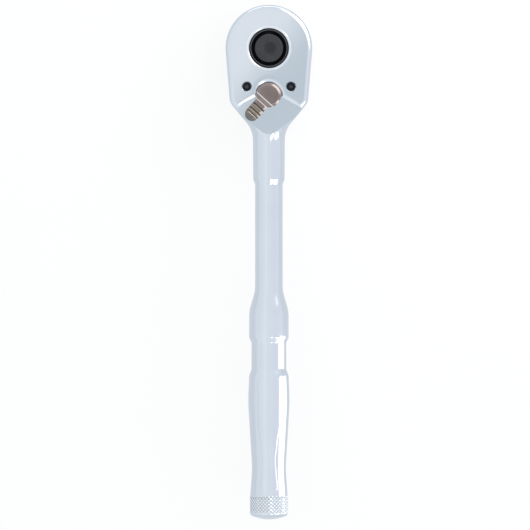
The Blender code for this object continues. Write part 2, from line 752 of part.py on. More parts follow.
def drive_anvil():
    """The drive: square, front journal, gear and rear journal in one piece, bored for the quick release."""
    step_z = (GEAR_Z + GEAR_TOP_Z) / 2
    seal_bottom = FRONT_JOURNAL_RADIUS + RUN - 2 * (SEAL_RADIUS + SEAL_GAP)
    anvil = turned("drive_anvil", [
        (0, LIP_Z),
        (REAR_JOURNAL_RADIUS - JOURNAL_EDGE, LIP_Z),
        (REAR_JOURNAL_RADIUS, LIP_Z - JOURNAL_EDGE),
        (REAR_JOURNAL_RADIUS, step_z),
        (FRONT_JOURNAL_RADIUS, step_z),
        *seal_groove(FRONT_JOURNAL_RADIUS, FRONT_SEAL_Z, seal_bottom),
        (FRONT_JOURNAL_RADIUS, SQUARE_LENGTH),
        (0, SQUARE_LENGTH)])
    gear = slab("gear", gear_outline(0.0, range(GEAR_TEETH)), GEAR_Z, GEAR_TOP_Z)
    half = DRIVE_SQUARE / 2 - SQUARE_CHAMFER
    corner = SQUARE_CORNER
    square = slab("square", rounded([
        (0, half, 0),
        (half, half, corner),
        (half, -half, corner),
        (-half, -half, corner),
        (-half, half, corner),
        (0, half, 0)])[1:-1], 0, SQUARE_LENGTH + 2 * SQUARE_CHAMFER, SQUARE_CHAMFER)
    fuse(anvil, gear, square)
    bore = turned("release_bore", [
        (0, LIP_Z + CUT_PAST),
        (BUTTON_POCKET_RADIUS, LIP_Z + CUT_PAST),
        (BUTTON_POCKET_RADIUS, RING_Z + RING_THICKNESS + SEAL_GAP),
        (RING_GROOVE_RADIUS, RING_Z + RING_THICKNESS + SEAL_GAP),
        (RING_GROOVE_RADIUS, RING_Z - SEAL_GAP),
        (BUTTON_POCKET_RADIUS, RING_Z - SEAL_GAP),
        (BUTTON_POCKET_RADIUS, POCKET_FLOOR_Z),
        (SPRING_BORE_RADIUS, POCKET_FLOOR_Z),
        (SPRING_BORE_RADIUS, SPRING_Z),
        (PIN_RADIUS + RUN, SPRING_Z),
        (PIN_RADIUS + RUN, BORE_Z),
        (0, BORE_Z)])
    ball_hole = cylinder("ball_hole", BALL_RADIUS + RUN, 0, DRIVE_SQUARE, SMALL_STEPS)
    ball_hole.rotation_euler.y = math.pi / 2
    ball_hole.location = (DRIVE_SQUARE / 2, 0, BALL_HEIGHT)
    cut(anvil, bore, ball_hole)
    return anvil


def thrust_washer():
    inner = FRONT_JOURNAL_RADIUS + RUN
    outer = GEAR_ROOT_RADIUS - WASHER_MARGIN
    low = COVER_TOP_Z + GAP
    high = low + WASHER_THICKNESS
    return turned("thrust_washer", [(outer, high), (outer, low), (inner, low), (inner, high)], closed=True)


def rear_seal_ring():
    ring = torus("rear_seal_ring", REAR_JOURNAL_RADIUS + SEAL_GAP + SEAL_RADIUS, SEAL_RADIUS)
    ring.location.z = REAR_SEAL_Z
    return ring


def front_seal_ring():
    ring = torus("front_seal_ring", FRONT_JOURNAL_RADIUS + RUN - SEAL_GAP - SEAL_RADIUS, SEAL_RADIUS)
    ring.location.z = FRONT_SEAL_Z
    return ring


def release_button():
    top = LIP_Z + BUTTON_PROUD
    hole = PIN_RADIUS + SEAL_GAP
    flange = BUTTON_POCKET_RADIUS - RUN
    dish = [(BUTTON_DISH_RADIUS * math.sin(t), top - BUTTON_DISH_DEPTH * math.cos(t))
            for t in (math.pi / 2 * i / CORNER_STEPS for i in range(CORNER_STEPS + 1))]
    return turned("release_button", [
        *dish,
        (BUTTON_RADIUS - BUTTON_EDGE, top),
        (BUTTON_RADIUS, top - BUTTON_EDGE),
        (BUTTON_RADIUS, FLANGE_TOP_Z),
        (flange, FLANGE_TOP_Z),
        (flange, FLANGE_Z),
        (hole, FLANGE_Z),
        (hole, PIN_TOP_Z + GAP),
        (0, PIN_TOP_Z + GAP)])


def release_pin():
    """The pin's land holds the ball out. Pressed down, its neck lets the ball in."""
    land = BALL_HEIGHT + PIN_LAND
    neck = land + PIN_RAMP
    neck_top = neck + PIN_NECK_LENGTH
    nose = BALL_RETRACT / 2
    return turned("release_pin", [
        (0, PIN_TOP_Z),
        (PIN_RADIUS, PIN_TOP_Z),
        (PIN_RADIUS, neck_top + PIN_SHOULDER),
        (PIN_NECK_RADIUS, neck_top),
        (PIN_NECK_RADIUS, neck),
        (PIN_RADIUS, land),
        (PIN_RADIUS, PIN_Z + nose),
        (PIN_RADIUS - nose, PIN_Z),
        (0, PIN_Z)], SMALL_STEPS)


def release_spring():
    spring = coil("release_spring", COIL_RADIUS, SPRING_WIRE, FLANGE_Z - SPRING_Z - 2 * GAP, SPRING_TURNS)
    spring.location.z = SPRING_Z + GAP
    return spring


def button_retaining_ring():
    return split_ring(
        "button_retaining_ring", BUTTON_RADIUS + RUN, RING_GROOVE_RADIUS - SEAL_GAP, RING_Z,
        RING_Z + RING_THICKNESS, RING_OPENING, math.pi / 2)


def lock_ball():
    bpy.ops.mesh.primitive_uv_sphere_add(segments=BALL_SEGMENTS, ring_count=BALL_RINGS, radius=BALL_RADIUS)
    ball = take_new("lock_ball")
    ball.location = (DRIVE_SQUARE / 2 + BALL_STAND - BALL_RADIUS, 0, BALL_HEIGHT)
    shade_round(ball.data)
    return ball


def pawl_end():
    """The inner and outer corner of the pawl's right end, in mesh with the gear."""
    pitch = 2 * math.pi / GEAR_TEETH
    last = (PAWL_TEETH[-1] + 0.5) * pitch
    inner = from_handle(GEAR_TIP_RADIUS + PAWL_FRONT_GAP, last + pitch / 2)
    outer = from_handle(GEAR_TIP_RADIUS + PAWL_DEPTH, last)
    return inner, outer


def pawl():
    """A double-ended pawl, drawn level and turned on its pin so that its right end is in mesh."""
    pivot = Vector((0, PAWL_Y))
    pitch = 2 * math.pi / GEAR_TEETH
    clear = GEAR_TIP_RADIUS + PAWL_FRONT_GAP
    first = (PAWL_TEETH[0] - 0.5) * pitch
    last = (PAWL_TEETH[-1] + 0.5) * pitch
    crest = GEAR_ROOT_RADIUS + PAWL_MESH_GAP
    face = [from_handle(clear, first - pitch / 2), from_handle(crest, first)]
    face += gear_outline(PAWL_MESH_GAP, PAWL_TEETH)
    face += [from_handle(crest, last), *pawl_end()]
    level = [pivot + spun(p - pivot, -PAWL_ROCK) for p in face]
    back = PAWL_HOLE_RADIUS + PAWL_WALL
    heel = [
        pivot + Vector((PAWL_HEEL, -back - PAWL_NOTCH)),
        pivot + Vector((2 * PAWL_NOTCH, -back - PAWL_NOTCH)),
        pivot + Vector((0, -back))]
    outline = [p - pivot for p in mirrored([Vector((0, -clear))] + level + heel)]
    obj = slab("pawl", outline, GEAR_Z, PAWL_TOP_Z)
    obj.location.y = PAWL_Y
    obj.rotation_euler.z = PAWL_ROCK
    hole = cylinder("pawl_hole", PAWL_HOLE_RADIUS, GEAR_Z - CUT_PAST, PAWL_TOP_Z + CUT_PAST, SMALL_STEPS)
    hole.location.y = PAWL_Y
    cut(obj, hole)
    return obj


def pawl_pivot_pin():
    low = COVER_TOP_Z - PAWL_PIN_SEAT
    high = CEILING_Z + PAWL_PIN_SEAT
    pin = cylinder("pawl_pivot_pin", PAWL_PIN_RADIUS, low, high, SMALL_STEPS)
    pin.location.y = PAWL_Y
    shade_round(pin.data)
    return pin


def lever_frame():
    """An empty on the lever's axis, turned to the rest position. The arm points along its -Y."""
    frame = bpy.data.objects.new("lever_frame", None)
    frame.location.y = LEVER_Y
    frame.rotation_euler.z = LEVER_REST
    parts.objects.link(frame)
    return frame


def reverse_lever(frame):
    half_width = ARM_WIDTH / 2
    meet = math.asin(half_width / HUB_RADIUS)
    half = arc((0, 0), HUB_RADIUS - HUB_EDGE, math.pi / 2, meet - math.pi / 2, TIP_STEPS)
    tip = ARM_LENGTH - half_width
    half += arc((0, -tip), half_width - HUB_EDGE, 0, -math.pi / 2, CORNER_STEPS)
    lever = slab("reverse_lever", mirrored(half), HUB_Z, HUB_TOP_Z, HUB_EDGE)
    arm_z = HUB_TOP_Z - ARM_DROP
    tip_z = HUB_TOP_Z - ARM_TIP_DROP
    slope = slab("arm_slope", [
        (-ARM_SLOPE_START, HUB_TOP_Z),
        (-ARM_SLOPE_END, arm_z),
        (-ARM_LENGTH - CUT_PAST, tip_z),
        (-ARM_LENGTH - CUT_PAST, HUB_TOP_Z + CUT_PAST),
        (-ARM_SLOPE_START, HUB_TOP_Z + CUT_PAST)], -HUB_RADIUS - CUT_PAST, HUB_RADIUS + CUT_PAST)
    slope.rotation_euler = (math.pi / 2, 0, math.pi / 2)
    slope.parent = frame
    shaft_bottom = COVER_TOP_Z + GAP
    seal_bottom = SHAFT_BORE_RADIUS - 2 * (LEVER_SEAL_RADIUS + SEAL_GAP)
    half_groove = LEVER_SEAL_RADIUS + SEAL_GROOVE_MARGIN
    clip_bottom = SHAFT_RADIUS - CLIP_SEAT
    shaft = turned("lever_shaft", [
        (0, HUB_Z + HUB_THICKNESS / 2),
        (SHAFT_RADIUS, HUB_Z + HUB_THICKNESS / 2),
        (SHAFT_RADIUS, LEVER_SEAL_Z + half_groove),
        (seal_bottom, LEVER_SEAL_Z + half_groove),
        (seal_bottom, LEVER_SEAL_Z - half_groove),
        (SHAFT_RADIUS, LEVER_SEAL_Z - half_groove),
        (SHAFT_RADIUS, CLIP_Z + CLIP_THICKNESS + SEAL_GAP),
        (clip_bottom, CLIP_Z + CLIP_THICKNESS + SEAL_GAP),
        (clip_bottom, CLIP_Z - SEAL_GAP),
        (SHAFT_RADIUS, CLIP_Z - SEAL_GAP),
        (SHAFT_RADIUS, shaft_bottom),
        (0, shaft_bottom)], SMALL_STEPS)
    shaft.parent = frame
    lever.parent = frame
    fuse(lever, shaft)
    cut(lever, slope)
    for i in range(SERRATION_COUNT):
        along = SERRATION_START + i * SERRATION_PITCH
        share = (along - ARM_SLOPE_END) / (ARM_LENGTH + CUT_PAST - ARM_SLOPE_END)
        groove = cylinder(f"serration_{i}", SERRATION_RADIUS, -HUB_RADIUS, HUB_RADIUS, SERRATION_SIDES)
        groove.rotation_euler = (0, math.pi / 2, 0)
        groove.location = (0, -along, mix(arm_z, tip_z, share))
        groove.parent = frame
        cut(lever, groove)
    hole_end = plunger_hole_end()
    plunger_hole = cylinder("plunger_hole", PLUNGER_RADIUS + RUN, hole_end, PLUNGER_REACH, SMALL_STEPS)
    plunger_hole.rotation_euler.x = -math.pi / 2
    plunger_hole.location = (0, (hole_end + PLUNGER_REACH) / 2, PLUNGER_Z)
    plunger_hole.parent = frame
    cut(lever, plunger_hole)
    return lever


def plunger_hole_end():
    """How far the plunger's hole reaches past the lever's axis, as a place along the plunger."""
    return PLUNGER_REACH - PLUNGER_LENGTH - PLUNGER_SPRING_LENGTH - 2 * SEAL_GAP


def pawl_plunger(frame):
    nose = [(PLUNGER_RADIUS * math.sin(t), PLUNGER_REACH - PLUNGER_RADIUS + PLUNGER_RADIUS * math.cos(t))
            for t in (math.pi / 2 * i / CORNER_STEPS for i in range(CORNER_STEPS + 1))]
    foot = PLUNGER_REACH - PLUNGER_LENGTH
    plunger = turned("pawl_plunger", [*nose, (PLUNGER_RADIUS, foot), (0, foot)], PLUNGER_STEPS)
    plunger.rotation_euler.x = -math.pi / 2
    plunger.location.z = PLUNGER_Z
    plunger.parent = frame
    return plunger


def plunger_spring(frame):
    spring = coil(
        "plunger_spring", PLUNGER_RADIUS - PLUNGER_SPRING_WIRE, PLUNGER_SPRING_WIRE, PLUNGER_SPRING_LENGTH,
        PLUNGER_SPRING_TURNS)
    spring.rotation_euler.x = -math.pi / 2
    spring.location = (0, plunger_hole_end() + SEAL_GAP, PLUNGER_Z)
    spring.parent = frame
    return spring


def lever_seal_ring(frame):
    ring = torus("lever_seal_ring", SHAFT_BORE_RADIUS - SEAL_GAP - LEVER_SEAL_RADIUS, LEVER_SEAL_RADIUS)
    ring.location.z = LEVER_SEAL_Z
    ring.parent = frame
    return ring


def lever_retaining_clip(frame):
    high = CLIP_Z + CLIP_THICKNESS
    clip = split_ring(
        "lever_retaining_clip", CLIP_INNER_RADIUS, CLIP_RADIUS, CLIP_Z, high, CLIP_OPENING, -math.pi / 2)
    clip.parent = frame
    return clip


def build():
    frame = lever_frame()
    finished = {
        "chrome": [handle_body(), cover_plate()],
        "black_oxide": [
            drive_anvil(), cover_screw("left", -1), cover_screw("right", 1), button_retaining_ring()],
        "button_grey": [release_button()],
        "satin_nickel": [reverse_lever(frame)],
        "bright_steel": [
            lock_ball(), release_pin(), pawl(), pawl_pivot_pin(), pawl_plunger(frame), thrust_washer()],
        "spring_steel": [release_spring(), plunger_spring(frame), lever_retaining_clip(frame)],
        "seal_rubber": [rear_seal_ring(), front_seal_ring(), lever_seal_ring(frame)],
    }
    finishes = make_finishes()
    for name, pieces in finished.items():
        for piece in pieces:
            piece.data.materials.clear()
            piece.data.materials.append(finishes[name])


clear_scene()
parts = make_collection("quick_release_ratchet")
cutters = make_collection("cutters")
build()
print(f"shank {(SHANK_Y - SWELL_Y) * 1000:.1f} mm of {OVERALL_LENGTH * 1000:.1f} mm overall")
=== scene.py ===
import math

import bmesh
import bpy
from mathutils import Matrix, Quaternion, Vector


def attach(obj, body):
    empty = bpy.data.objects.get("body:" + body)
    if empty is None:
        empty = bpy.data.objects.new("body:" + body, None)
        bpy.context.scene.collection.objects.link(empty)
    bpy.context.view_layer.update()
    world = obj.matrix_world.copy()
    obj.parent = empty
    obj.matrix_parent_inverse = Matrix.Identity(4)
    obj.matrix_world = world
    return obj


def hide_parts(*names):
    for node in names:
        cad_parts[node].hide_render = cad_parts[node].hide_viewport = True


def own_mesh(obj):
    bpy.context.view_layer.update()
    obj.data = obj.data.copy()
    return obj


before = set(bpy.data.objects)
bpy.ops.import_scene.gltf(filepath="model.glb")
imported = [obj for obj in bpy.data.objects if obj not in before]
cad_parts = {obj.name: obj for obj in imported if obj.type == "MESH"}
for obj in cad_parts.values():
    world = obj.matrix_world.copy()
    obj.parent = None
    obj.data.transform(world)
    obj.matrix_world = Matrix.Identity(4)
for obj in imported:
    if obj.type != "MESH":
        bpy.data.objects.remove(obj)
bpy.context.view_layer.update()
scene = bpy.context.scene
scene.view_settings.view_transform = "Standard"
mm = 0.001
quarter = math.pi / 2
fullTurn = 2 * math.pi
axisStart = 0.1  # where the softened edge of a turned top begins, beside its axis


# small tools for outlines and meshes, all in millimetres until the mesh is made

def blendStep(value):
    value = min(max(value, 0.0), 1.0)
    return value * value * (3 - 2 * value)


def between(first, second, share):
    return first + (second - first) * share


def arcPoints(centre, radius, start, end, steps):
    turns = [start + (end - start) * i / steps for i in range(steps + 1)]
    return [Vector((centre[0] + radius * math.cos(t), centre[1] + radius * math.sin(t))) for t in turns]


def turnedBy(arm, angle):
    cosine, sine = math.cos(angle), math.sin(angle)
    return Vector((arm.x * cosine - arm.y * sine, arm.x * sine + arm.y * cosine))


def roundedPath(corners, chord=0.004):
    # corners of (x, y, radius), with the two ends left as they are
    path = [Vector(corners[0][:2])]
    for before, corner, after in zip(corners, corners[1:], corners[2:]):
        here = Vector(corner[:2])
        back = Vector(before[:2]) - here
        ahead = Vector(after[:2]) - here
        opening = back.angle(ahead)
        reach = min(corner[2] / math.tan(opening / 2), back.length / 2, ahead.length / 2)
        halfway = (back.normalized() + ahead.normalized()).normalized()
        middle = here + halfway * reach / math.cos(opening / 2)
        first = here + back.normalized() * reach - middle
        last = here + ahead.normalized() * reach - middle
        sweep = -first.angle_signed(last)
        steps = math.ceil(abs(sweep) / (2 * math.acos(max(1 - chord / first.length, 0))))
        path += [middle + turnedBy(first, sweep * i / steps) for i in range(steps + 1)]
    return path + [Vector(corners[-1][:2])]


def softCorners(profile, radius):
    return [tuple(p) for p in roundedPath([(*p, radius) for p in profile])]


def bothSides(half):
    return half + [Vector((-p.x, p.y)) for p in reversed(half) if p.x > 1e-6]


def fromHandle(radius, angle):
    return Vector((radius * math.sin(angle), -radius * math.cos(angle)))


def plug(radius, low, high):
    return [(0, high), (radius, high), (radius, low), (0, low)]


def grooved(radius, groove):
    # a groove of (radius, middle, half width) in a bore or on a journal
    depth, middle, half = groove
    return [(radius, middle + half), (depth, middle + half), (depth, middle - half), (radius, middle - half)]


def newObject(name, data):
    obj = bpy.data.objects.new(name, data)
    scene.collection.objects.link(obj)
    return obj


def editMesh(mesh, edit, *values):
    form = bmesh.new()
    form.from_mesh(mesh)
    edit(form, *values)
    form.to_mesh(mesh)
    form.free()


def mergeClose(form, distance):
    bmesh.ops.remove_doubles(form, verts=form.verts, dist=distance)
    bmesh.ops.dissolve_degenerate(form, edges=form.edges, dist=distance)


def faceOut(form):
    bmesh.ops.recalc_face_normals(form, faces=form.faces)


def closeUp(form):
    mergeClose(form, 1e-8)
    faceOut(form)


def meshFrom(name, places, faces):
    mesh = bpy.data.meshes.new(name)
    mesh.from_pydata([Vector(p) * mm for p in places], [], faces)
    editMesh(mesh, closeUp)
    return newObject(name, mesh)


def stacked(name, levels, place=(0, 0)):
    # outlines with the same count of points, one above the other: levels of (z, outline)
    count = len(levels[0][1])
    places = [(p.x + place[0], p.y + place[1], z) for z, outline in levels for p in outline]
    faces = [tuple(range(count)), tuple(range(len(places) - count, len(places)))]
    for level in range(len(levels) - 1):
        low = level * count
        for i in range(count):
            j = (i + 1) % count
            faces.append((low + i, low + j, low + count + j, low + count + i))
    return meshFrom(name, places, faces)


def turned(name, profile, steps=96, place=(0, 0), closed=False):
    # profile of (radius, z); a closed one makes a ring
    places, faces = [], []
    for i in range(steps):
        turn = fullTurn * i / steps
        places += [(place[0] + r * math.cos(turn), place[1] + r * math.sin(turn), z) for r, z in profile]
    count = len(profile)
    spans = count if closed else count - 1
    for i in range(steps):
        here, there = i * count, (i + 1) % steps * count
        for k in range(spans):
            n = (k + 1) % count
            faces.append((here + k, there + k, there + n, here + n))
    return meshFrom(name, places, faces)


def makePlain(obj):
    depsgraph = bpy.context.evaluated_depsgraph_get()
    mesh = bpy.data.meshes.new_from_object(obj.evaluated_get(depsgraph))
    obj.modifiers.clear()
    obj.data = mesh


def combine(target, tools, operation="DIFFERENCE"):
    # booleans one after the other, then a plain mesh again
    for tool in tools:
        boolean = target.modifiers.new(tool.name, "BOOLEAN")
        boolean.operation = operation
        boolean.solver = "EXACT"
        boolean.object = tool
    makePlain(target)
    for tool in tools:
        bpy.data.objects.remove(tool)


def smoothFaces(obj, angle=32):
    obj.data.shade_smooth()
    obj.data.set_sharp_from_angle(angle=math.radians(angle))
    weighted = obj.modifiers.new("weightedNormals", "WEIGHTED_NORMAL")
    weighted.keep_sharp = True
    weighted.weight = 80
    makePlain(obj)
    return obj


def joined(name, pieces):
    form = bmesh.new()
    for piece in pieces:
        form.from_mesh(piece.data)
        bpy.data.objects.remove(piece)
    mesh = bpy.data.meshes.new(name)
    form.to_mesh(mesh)
    form.free()
    return newObject(name, mesh)


def paint(obj, material):
    obj.data.materials.clear()
    obj.data.materials.append(material)


def finishPiece(obj, body, slotName, material, *nodes):
    paint(obj, material)
    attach(obj, body)
    if nodes:
        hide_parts(*nodes)
    print(f"{obj.name}: {len(obj.data.polygons)} faces on {body}")


# node tools, for materials and for the knurl

def addNode(tree, kind, inputs=(), **settings):
    # inputs by name or number, each another node's socket or a plain value
    node = tree.nodes.new(kind)
    for name, value in settings.items():
        setattr(node, name, value)
    for key, value in dict(inputs).items():
        if isinstance(value, bpy.types.NodeSocket):
            tree.links.new(value, node.inputs[key])
        else:
            node.inputs[key].default_value = value
    return node


def calc(tree, operation, *values, clamp=False):
    numbered = dict(enumerate(values))
    return addNode(tree, "ShaderNodeMath", numbered, operation=operation, use_clamp=clamp).outputs[0]


def vectorCalc(tree, operation, output, *values):
    return addNode(tree, "ShaderNodeVectorMath", dict(enumerate(values)), operation=operation).outputs[output]


def vectorFrom(tree, x, y, z):
    return addNode(tree, "ShaderNodeCombineXYZ", {"X": x, "Y": y, "Z": z}).outputs["Vector"]


def vectorParts(tree, source):
    return addNode(tree, "ShaderNodeSeparateXYZ", {"Vector": source}).outputs


def ranged(tree, value, toRange, fromRange=(0.0, 1.0), shape="LINEAR"):
    node = addNode(tree, "ShaderNodeMapRange", {
        "Value": value, "From Min": fromRange[0], "From Max": fromRange[1],
        "To Min": toRange[0], "To Max": toRange[1]}, interpolation_type=shape)
    return node.outputs["Result"]


def mixColour(tree, factor, first, second):
    first, second = ((*c, 1.0) if isinstance(c, tuple) else c for c in (first, second))
    values = {"Factor": factor, "A": first, "B": second}
    return addNode(tree, "ShaderNodeMix", values, data_type="RGBA").outputs["Result"]


def addInputs(tree, inputs):
    kinds = {float: "Float", int: "Int", tuple: "Vector"}
    for name, value in inputs.items():
        kind = "NodeSocket" + kinds.get(type(value), "Material")
        tree.interface.new_socket(name=name, in_out="INPUT", socket_type=kind).default_value = value


def shaderGroup(name, output, inputs):
    # a group with one value that changes over the surface
    tree = bpy.data.node_groups.new(name, "ShaderNodeTree")
    addInputs(tree, inputs)
    tree.interface.new_socket(name=output, in_out="OUTPUT", socket_type="NodeSocketFloat")
    start = addNode(tree, "NodeGroupInput").outputs
    end = addNode(tree, "NodeGroupOutput").inputs[output]
    place = addNode(tree, "ShaderNodeTexCoord").outputs["Object"]
    return tree, start, end, place


def addGroup(tree, group, values):
    return addNode(tree, "ShaderNodeGroup", values, node_tree=group).outputs[0]


# shader groups that the finishes share

def mottleGroup():
    # cloudy variation from 0 to 1
    tree, start, end, place = shaderGroup("cloudyMottle", "Mask", {
        "Scale": 300.0, "Detail": 3.0, "Contrast": 1.0})
    noise = addNode(tree, "ShaderNodeTexNoise", {
        "Vector": place, "Scale": start["Scale"], "Detail": start["Detail"]})
    spread = calc(tree, "MULTIPLY", calc(tree, "SUBTRACT", noise.outputs["Fac"], 0.5), start["Contrast"])
    tree.links.new(calc(tree, "ADD", spread, 0.5, clamp=True), end)
    return tree


def grainGroup():
    # fine lines from polishing or brushing, stretched along one direction
    tree, start, end, place = shaderGroup("polishLines", "Lines", {
        "Turn": (0.0, 0.0, 0.0), "Stretch": (6000.0, 200.0, 6000.0)})
    turn = addNode(tree, "ShaderNodeMapping", {"Vector": place, "Rotation": start["Turn"]})
    stretched = vectorCalc(tree, "MULTIPLY", "Vector", turn.outputs["Vector"], start["Stretch"])
    noise = addNode(tree, "ShaderNodeTexNoise", {"Vector": stretched, "Scale": 1.0, "Detail": 2.0})
    tree.links.new(noise.outputs["Fac"], end)
    return tree


def crownGroup():
    # a buffed face is a little higher in its middle: falls off with x and, over the head, with y
    tree, start, end, place = shaderGroup("buffedCrown", "Height", {
        "Rise": 0.3, "Radius": 0.016, "Head End": -0.024, "Easing": 0.008})
    parts = vectorParts(tree, place)
    overHead = calc(tree, "SMOOTH_MAX", parts["Y"], start["Head End"], start["Easing"])
    shares = [calc(tree, "DIVIDE", source, start["Radius"]) for source in (parts["X"], overHead)]
    squares = [calc(tree, "MULTIPLY", share, share) for share in shares]
    drop = calc(tree, "MULTIPLY", calc(tree, "ADD", *squares), start["Rise"])
    tree.links.new(calc(tree, "MULTIPLY", drop, -1.0), end)
    return tree


def valleyGroup():
    # 0 in the valleys and 1 on the tips, by the distance from an axis along y
    # and, past the bend, from a circle round that axis: the mask for the knurl's painted valley shade
    tree, start, end, place = shaderGroup("knurlValleys", "Mask", {
        "Axis": 0.0, "Low": 0.0, "High": 1.0, "Bend": -1.0, "Core": 0.0})
    parts = vectorParts(tree, place)
    out = vectorFrom(tree, parts["X"], 0.0, calc(tree, "SUBTRACT", parts["Z"], start["Axis"]))
    beyondCore = calc(tree, "SUBTRACT", vectorCalc(tree, "LENGTH", "Value", out), start["Core"])
    pastBend = calc(tree, "MINIMUM", calc(tree, "SUBTRACT", parts["Y"], start["Bend"]), 0.0)
    around = vectorCalc(tree, "LENGTH", "Value", vectorFrom(tree, beyondCore, pastBend, 0.0))
    radius = calc(tree, "ADD", around, start["Core"])
    tree.links.new(ranged(tree, radius, (0.0, 1.0), (start["Low"], start["High"])), end)
    return tree


def bandGroup():
    # 1 on a straight line across a direction, 0 beyond its half width: bands of tint, painted highlight and
    # painted shade on the lever
    tree, start, end, place = shaderGroup("shadeAndHighlightBand", "Mask", {
        "Direction": (0.0, 1.0, 0.0), "Place": 0.0, "Half Width": 0.001})
    along = vectorCalc(tree, "DOT_PRODUCT", "Value", place, start["Direction"])
    off = calc(tree, "ABSOLUTE", calc(tree, "SUBTRACT", along, start["Place"]))
    tree.links.new(ranged(tree, off, (1.0, 0.0), (0.0, start["Half Width"]), "SMOOTHSTEP"), end)
    return tree


def spotGroup():
    # 1 inside a round spot seen along z
    tree, start, end, place = shaderGroup("roundSpot", "Mask", {
        "Centre": (0.0, 0.0, 0.0), "Inner": 0.001, "Outer": 0.002})
    flat = vectorCalc(tree, "MULTIPLY", "Vector", place, (1.0, 1.0, 0.0))
    far = vectorCalc(tree, "DISTANCE", "Value", flat, start["Centre"])
    tree.links.new(ranged(tree, far, (1.0, 0.0), (start["Inner"], start["Outer"]), "SMOOTHSTEP"), end)
    return tree


mottle, grain, band, spot, valleys, crown = (
    mottleGroup(), grainGroup(), bandGroup(), spotGroup(), valleyGroup(), crownGroup())

armWay = (-0.66913, -0.74314, 0.0)  # the lever's arm at rest
armZero = 0.0174 * 0.74314  # the hub's middle along it
looks = {  # clouds: scale, contrast, height in mm; lines: turn, stretch, height in mm
    "polishedChrome": {
        "darker": (0.675, 0.735, 0.805), "lighter": (0.715, 0.765, 0.830), "roughness": (0.10, 0.17),
        "clouds": (90.0, 1.4, 0.05), "lines": ((0.0, 0.0, 0.0), (2500.0, 120.0, 2500.0), 0.0008),
        "crown": {"Rise": 0.3, "Radius": 0.016}},
    # a lighter copy of the chrome for the bore's lip: a painted highlight, so the ring reads brighter than
    # the face
    "litLipChrome": {
        "darker": (0.78, 0.82, 0.875), "lighter": (0.82, 0.855, 0.90), "roughness": (0.12, 0.20),
        "clouds": (200.0, 1.4, 0.01), "lines": ((0.0, 0.0, 0.0), (2500.0, 2500.0, 2500.0), 0.001)},
    "knurledChrome": {
        "darker": (0.78, 0.82, 0.87), "lighter": (0.88, 0.91, 0.94), "roughness": (0.12, 0.22),
        "clouds": (300.0, 1.4, 0.01), "lines": ((0.0, 0.0, 0.0), (2500.0, 2500.0, 2500.0), 0.001),
        # the valleys below get a painted shade, and the rest is a lighter chrome than the grip's
        "valley": {"Axis": 0.0188, "Low": 0.00685, "High": 0.00695, "Bend": -0.17118, "Core": 0.0052},
        "valleyTint": (0.40, 0.44, 0.49)},
    "blackOxide": {
        "metallic": 0.85, "roughness": (0.30, 0.46),
        "darker": (0.010, 0.011, 0.014), "lighter": (0.028, 0.030, 0.036),
        "clouds": (420.0, 1.6, 0.010), "lines": ((0.0, 0.0, 0.4), (1800.0, 1800.0, 4000.0), 0.003),
        # a lighter ring just inside the journal's bevel: a painted highlight
        "rings": [(0.00648, 0.00692, 0.00014, (0.085, 0.090, 0.098))]},
    # a black ring, painted darker still so that it stands in for the shade in the gap round the button
    "ringBlackAndShade": {
        "darker": (0.0020, 0.0022, 0.0026), "lighter": (0.0050, 0.0052, 0.0060), "roughness": (0.40, 0.55),
        "clouds": (500.0, 1.6, 0.010), "lines": ((0.0, 0.0, 0.4), (1800.0, 1800.0, 4000.0), 0.003)},
    "screwBlack": {
        "metallic": 0.85, "roughness": (0.30, 0.46),
        "darker": (0.008, 0.009, 0.011), "lighter": (0.022, 0.024, 0.029),
        "clouds": (900.0, 1.9, 0.010), "lines": ((0.0, 0.0, 0.4), (1800.0, 1800.0, 4000.0), 0.003),
        "spots": [
            ((side * 0.00816, -0.0142, 0.0), 0.0004, 0.0010, (0.056, 0.070, 0.088)) for side in (-1, 1)]},
    "buttonGrey": {
        "metallic": 0.3, "shine": 0.15, "roughness": (0.40, 0.56),
        "darker": (0.034, 0.036, 0.038), "lighter": (0.050, 0.052, 0.055),
        "clouds": (520.0, 1.3, 0.010), "lines": ((0.0, 0.0, 0.7), (3000.0, 3000.0, 3000.0), 0.004),
        # a darker spot in the dish's middle: painted shade
        "spots": [((0.0004, 0.0, 0.0), 0.0016, 0.0028, (0.027, 0.029, 0.031))],
        # near-black beyond the button's rim, on the flange in the gap: painted shade
        "rings": [(0.00524, 0.0080, 0.0001, (0.003, 0.003, 0.0035))]},
    "satinNickel": {
        "darker": (0.246, 0.197, 0.187), "lighter": (0.322, 0.267, 0.252), "roughness": (0.17, 0.30),
        "clouds": (260.0, 1.5, 0.012), "lines": ((0.0, 0.0, 0.733), (600.0, 7000.0, 3000.0), 0.002),
        "bands": [  # place along the arm, half width, tint: a lighter arm, painted shade at the tip, painted highlights on two edges, painted shade in the grooves
            (0.0081, 0.0042, (0.300, 0.265, 0.225)), (0.0116, 0.0032, (0.178, 0.180, 0.170)),
            (0.0021, 0.00030, (0.92, 0.88, 0.86)), (0.0039, 0.00026, (0.86, 0.82, 0.80)),
            *((place, 0.00026, (0.075, 0.060, 0.045)) for place in (0.0057, 0.0077, 0.00915))]},
    "groundSteel": {
        "darker": (0.50, 0.50, 0.51), "lighter": (0.62, 0.62, 0.63), "roughness": (0.18, 0.34),
        "clouds": (350.0, 1.3, 0.008), "lines": ((0.0, 0.3, 0.0), (5000.0, 300.0, 5000.0), 0.002)},
    "oiledSpringSteel": {
        "darker": (0.28, 0.28, 0.30), "lighter": (0.40, 0.40, 0.42), "roughness": (0.24, 0.40),
        "clouds": (800.0, 1.5, 0.006), "lines": ((0.0, 0.0, 0.0), (4000.0, 4000.0, 900.0), 0.002)},
    "sealRubber": {
        "metallic": 0.0, "roughness": (0.55, 0.75),
        "darker": (0.012, 0.012, 0.013), "lighter": (0.024, 0.024, 0.025),
        "clouds": (900.0, 1.5, 0.010), "lines": ((0.0, 0.0, 0.0), (3000.0, 3000.0, 3000.0), 0.004)},
}


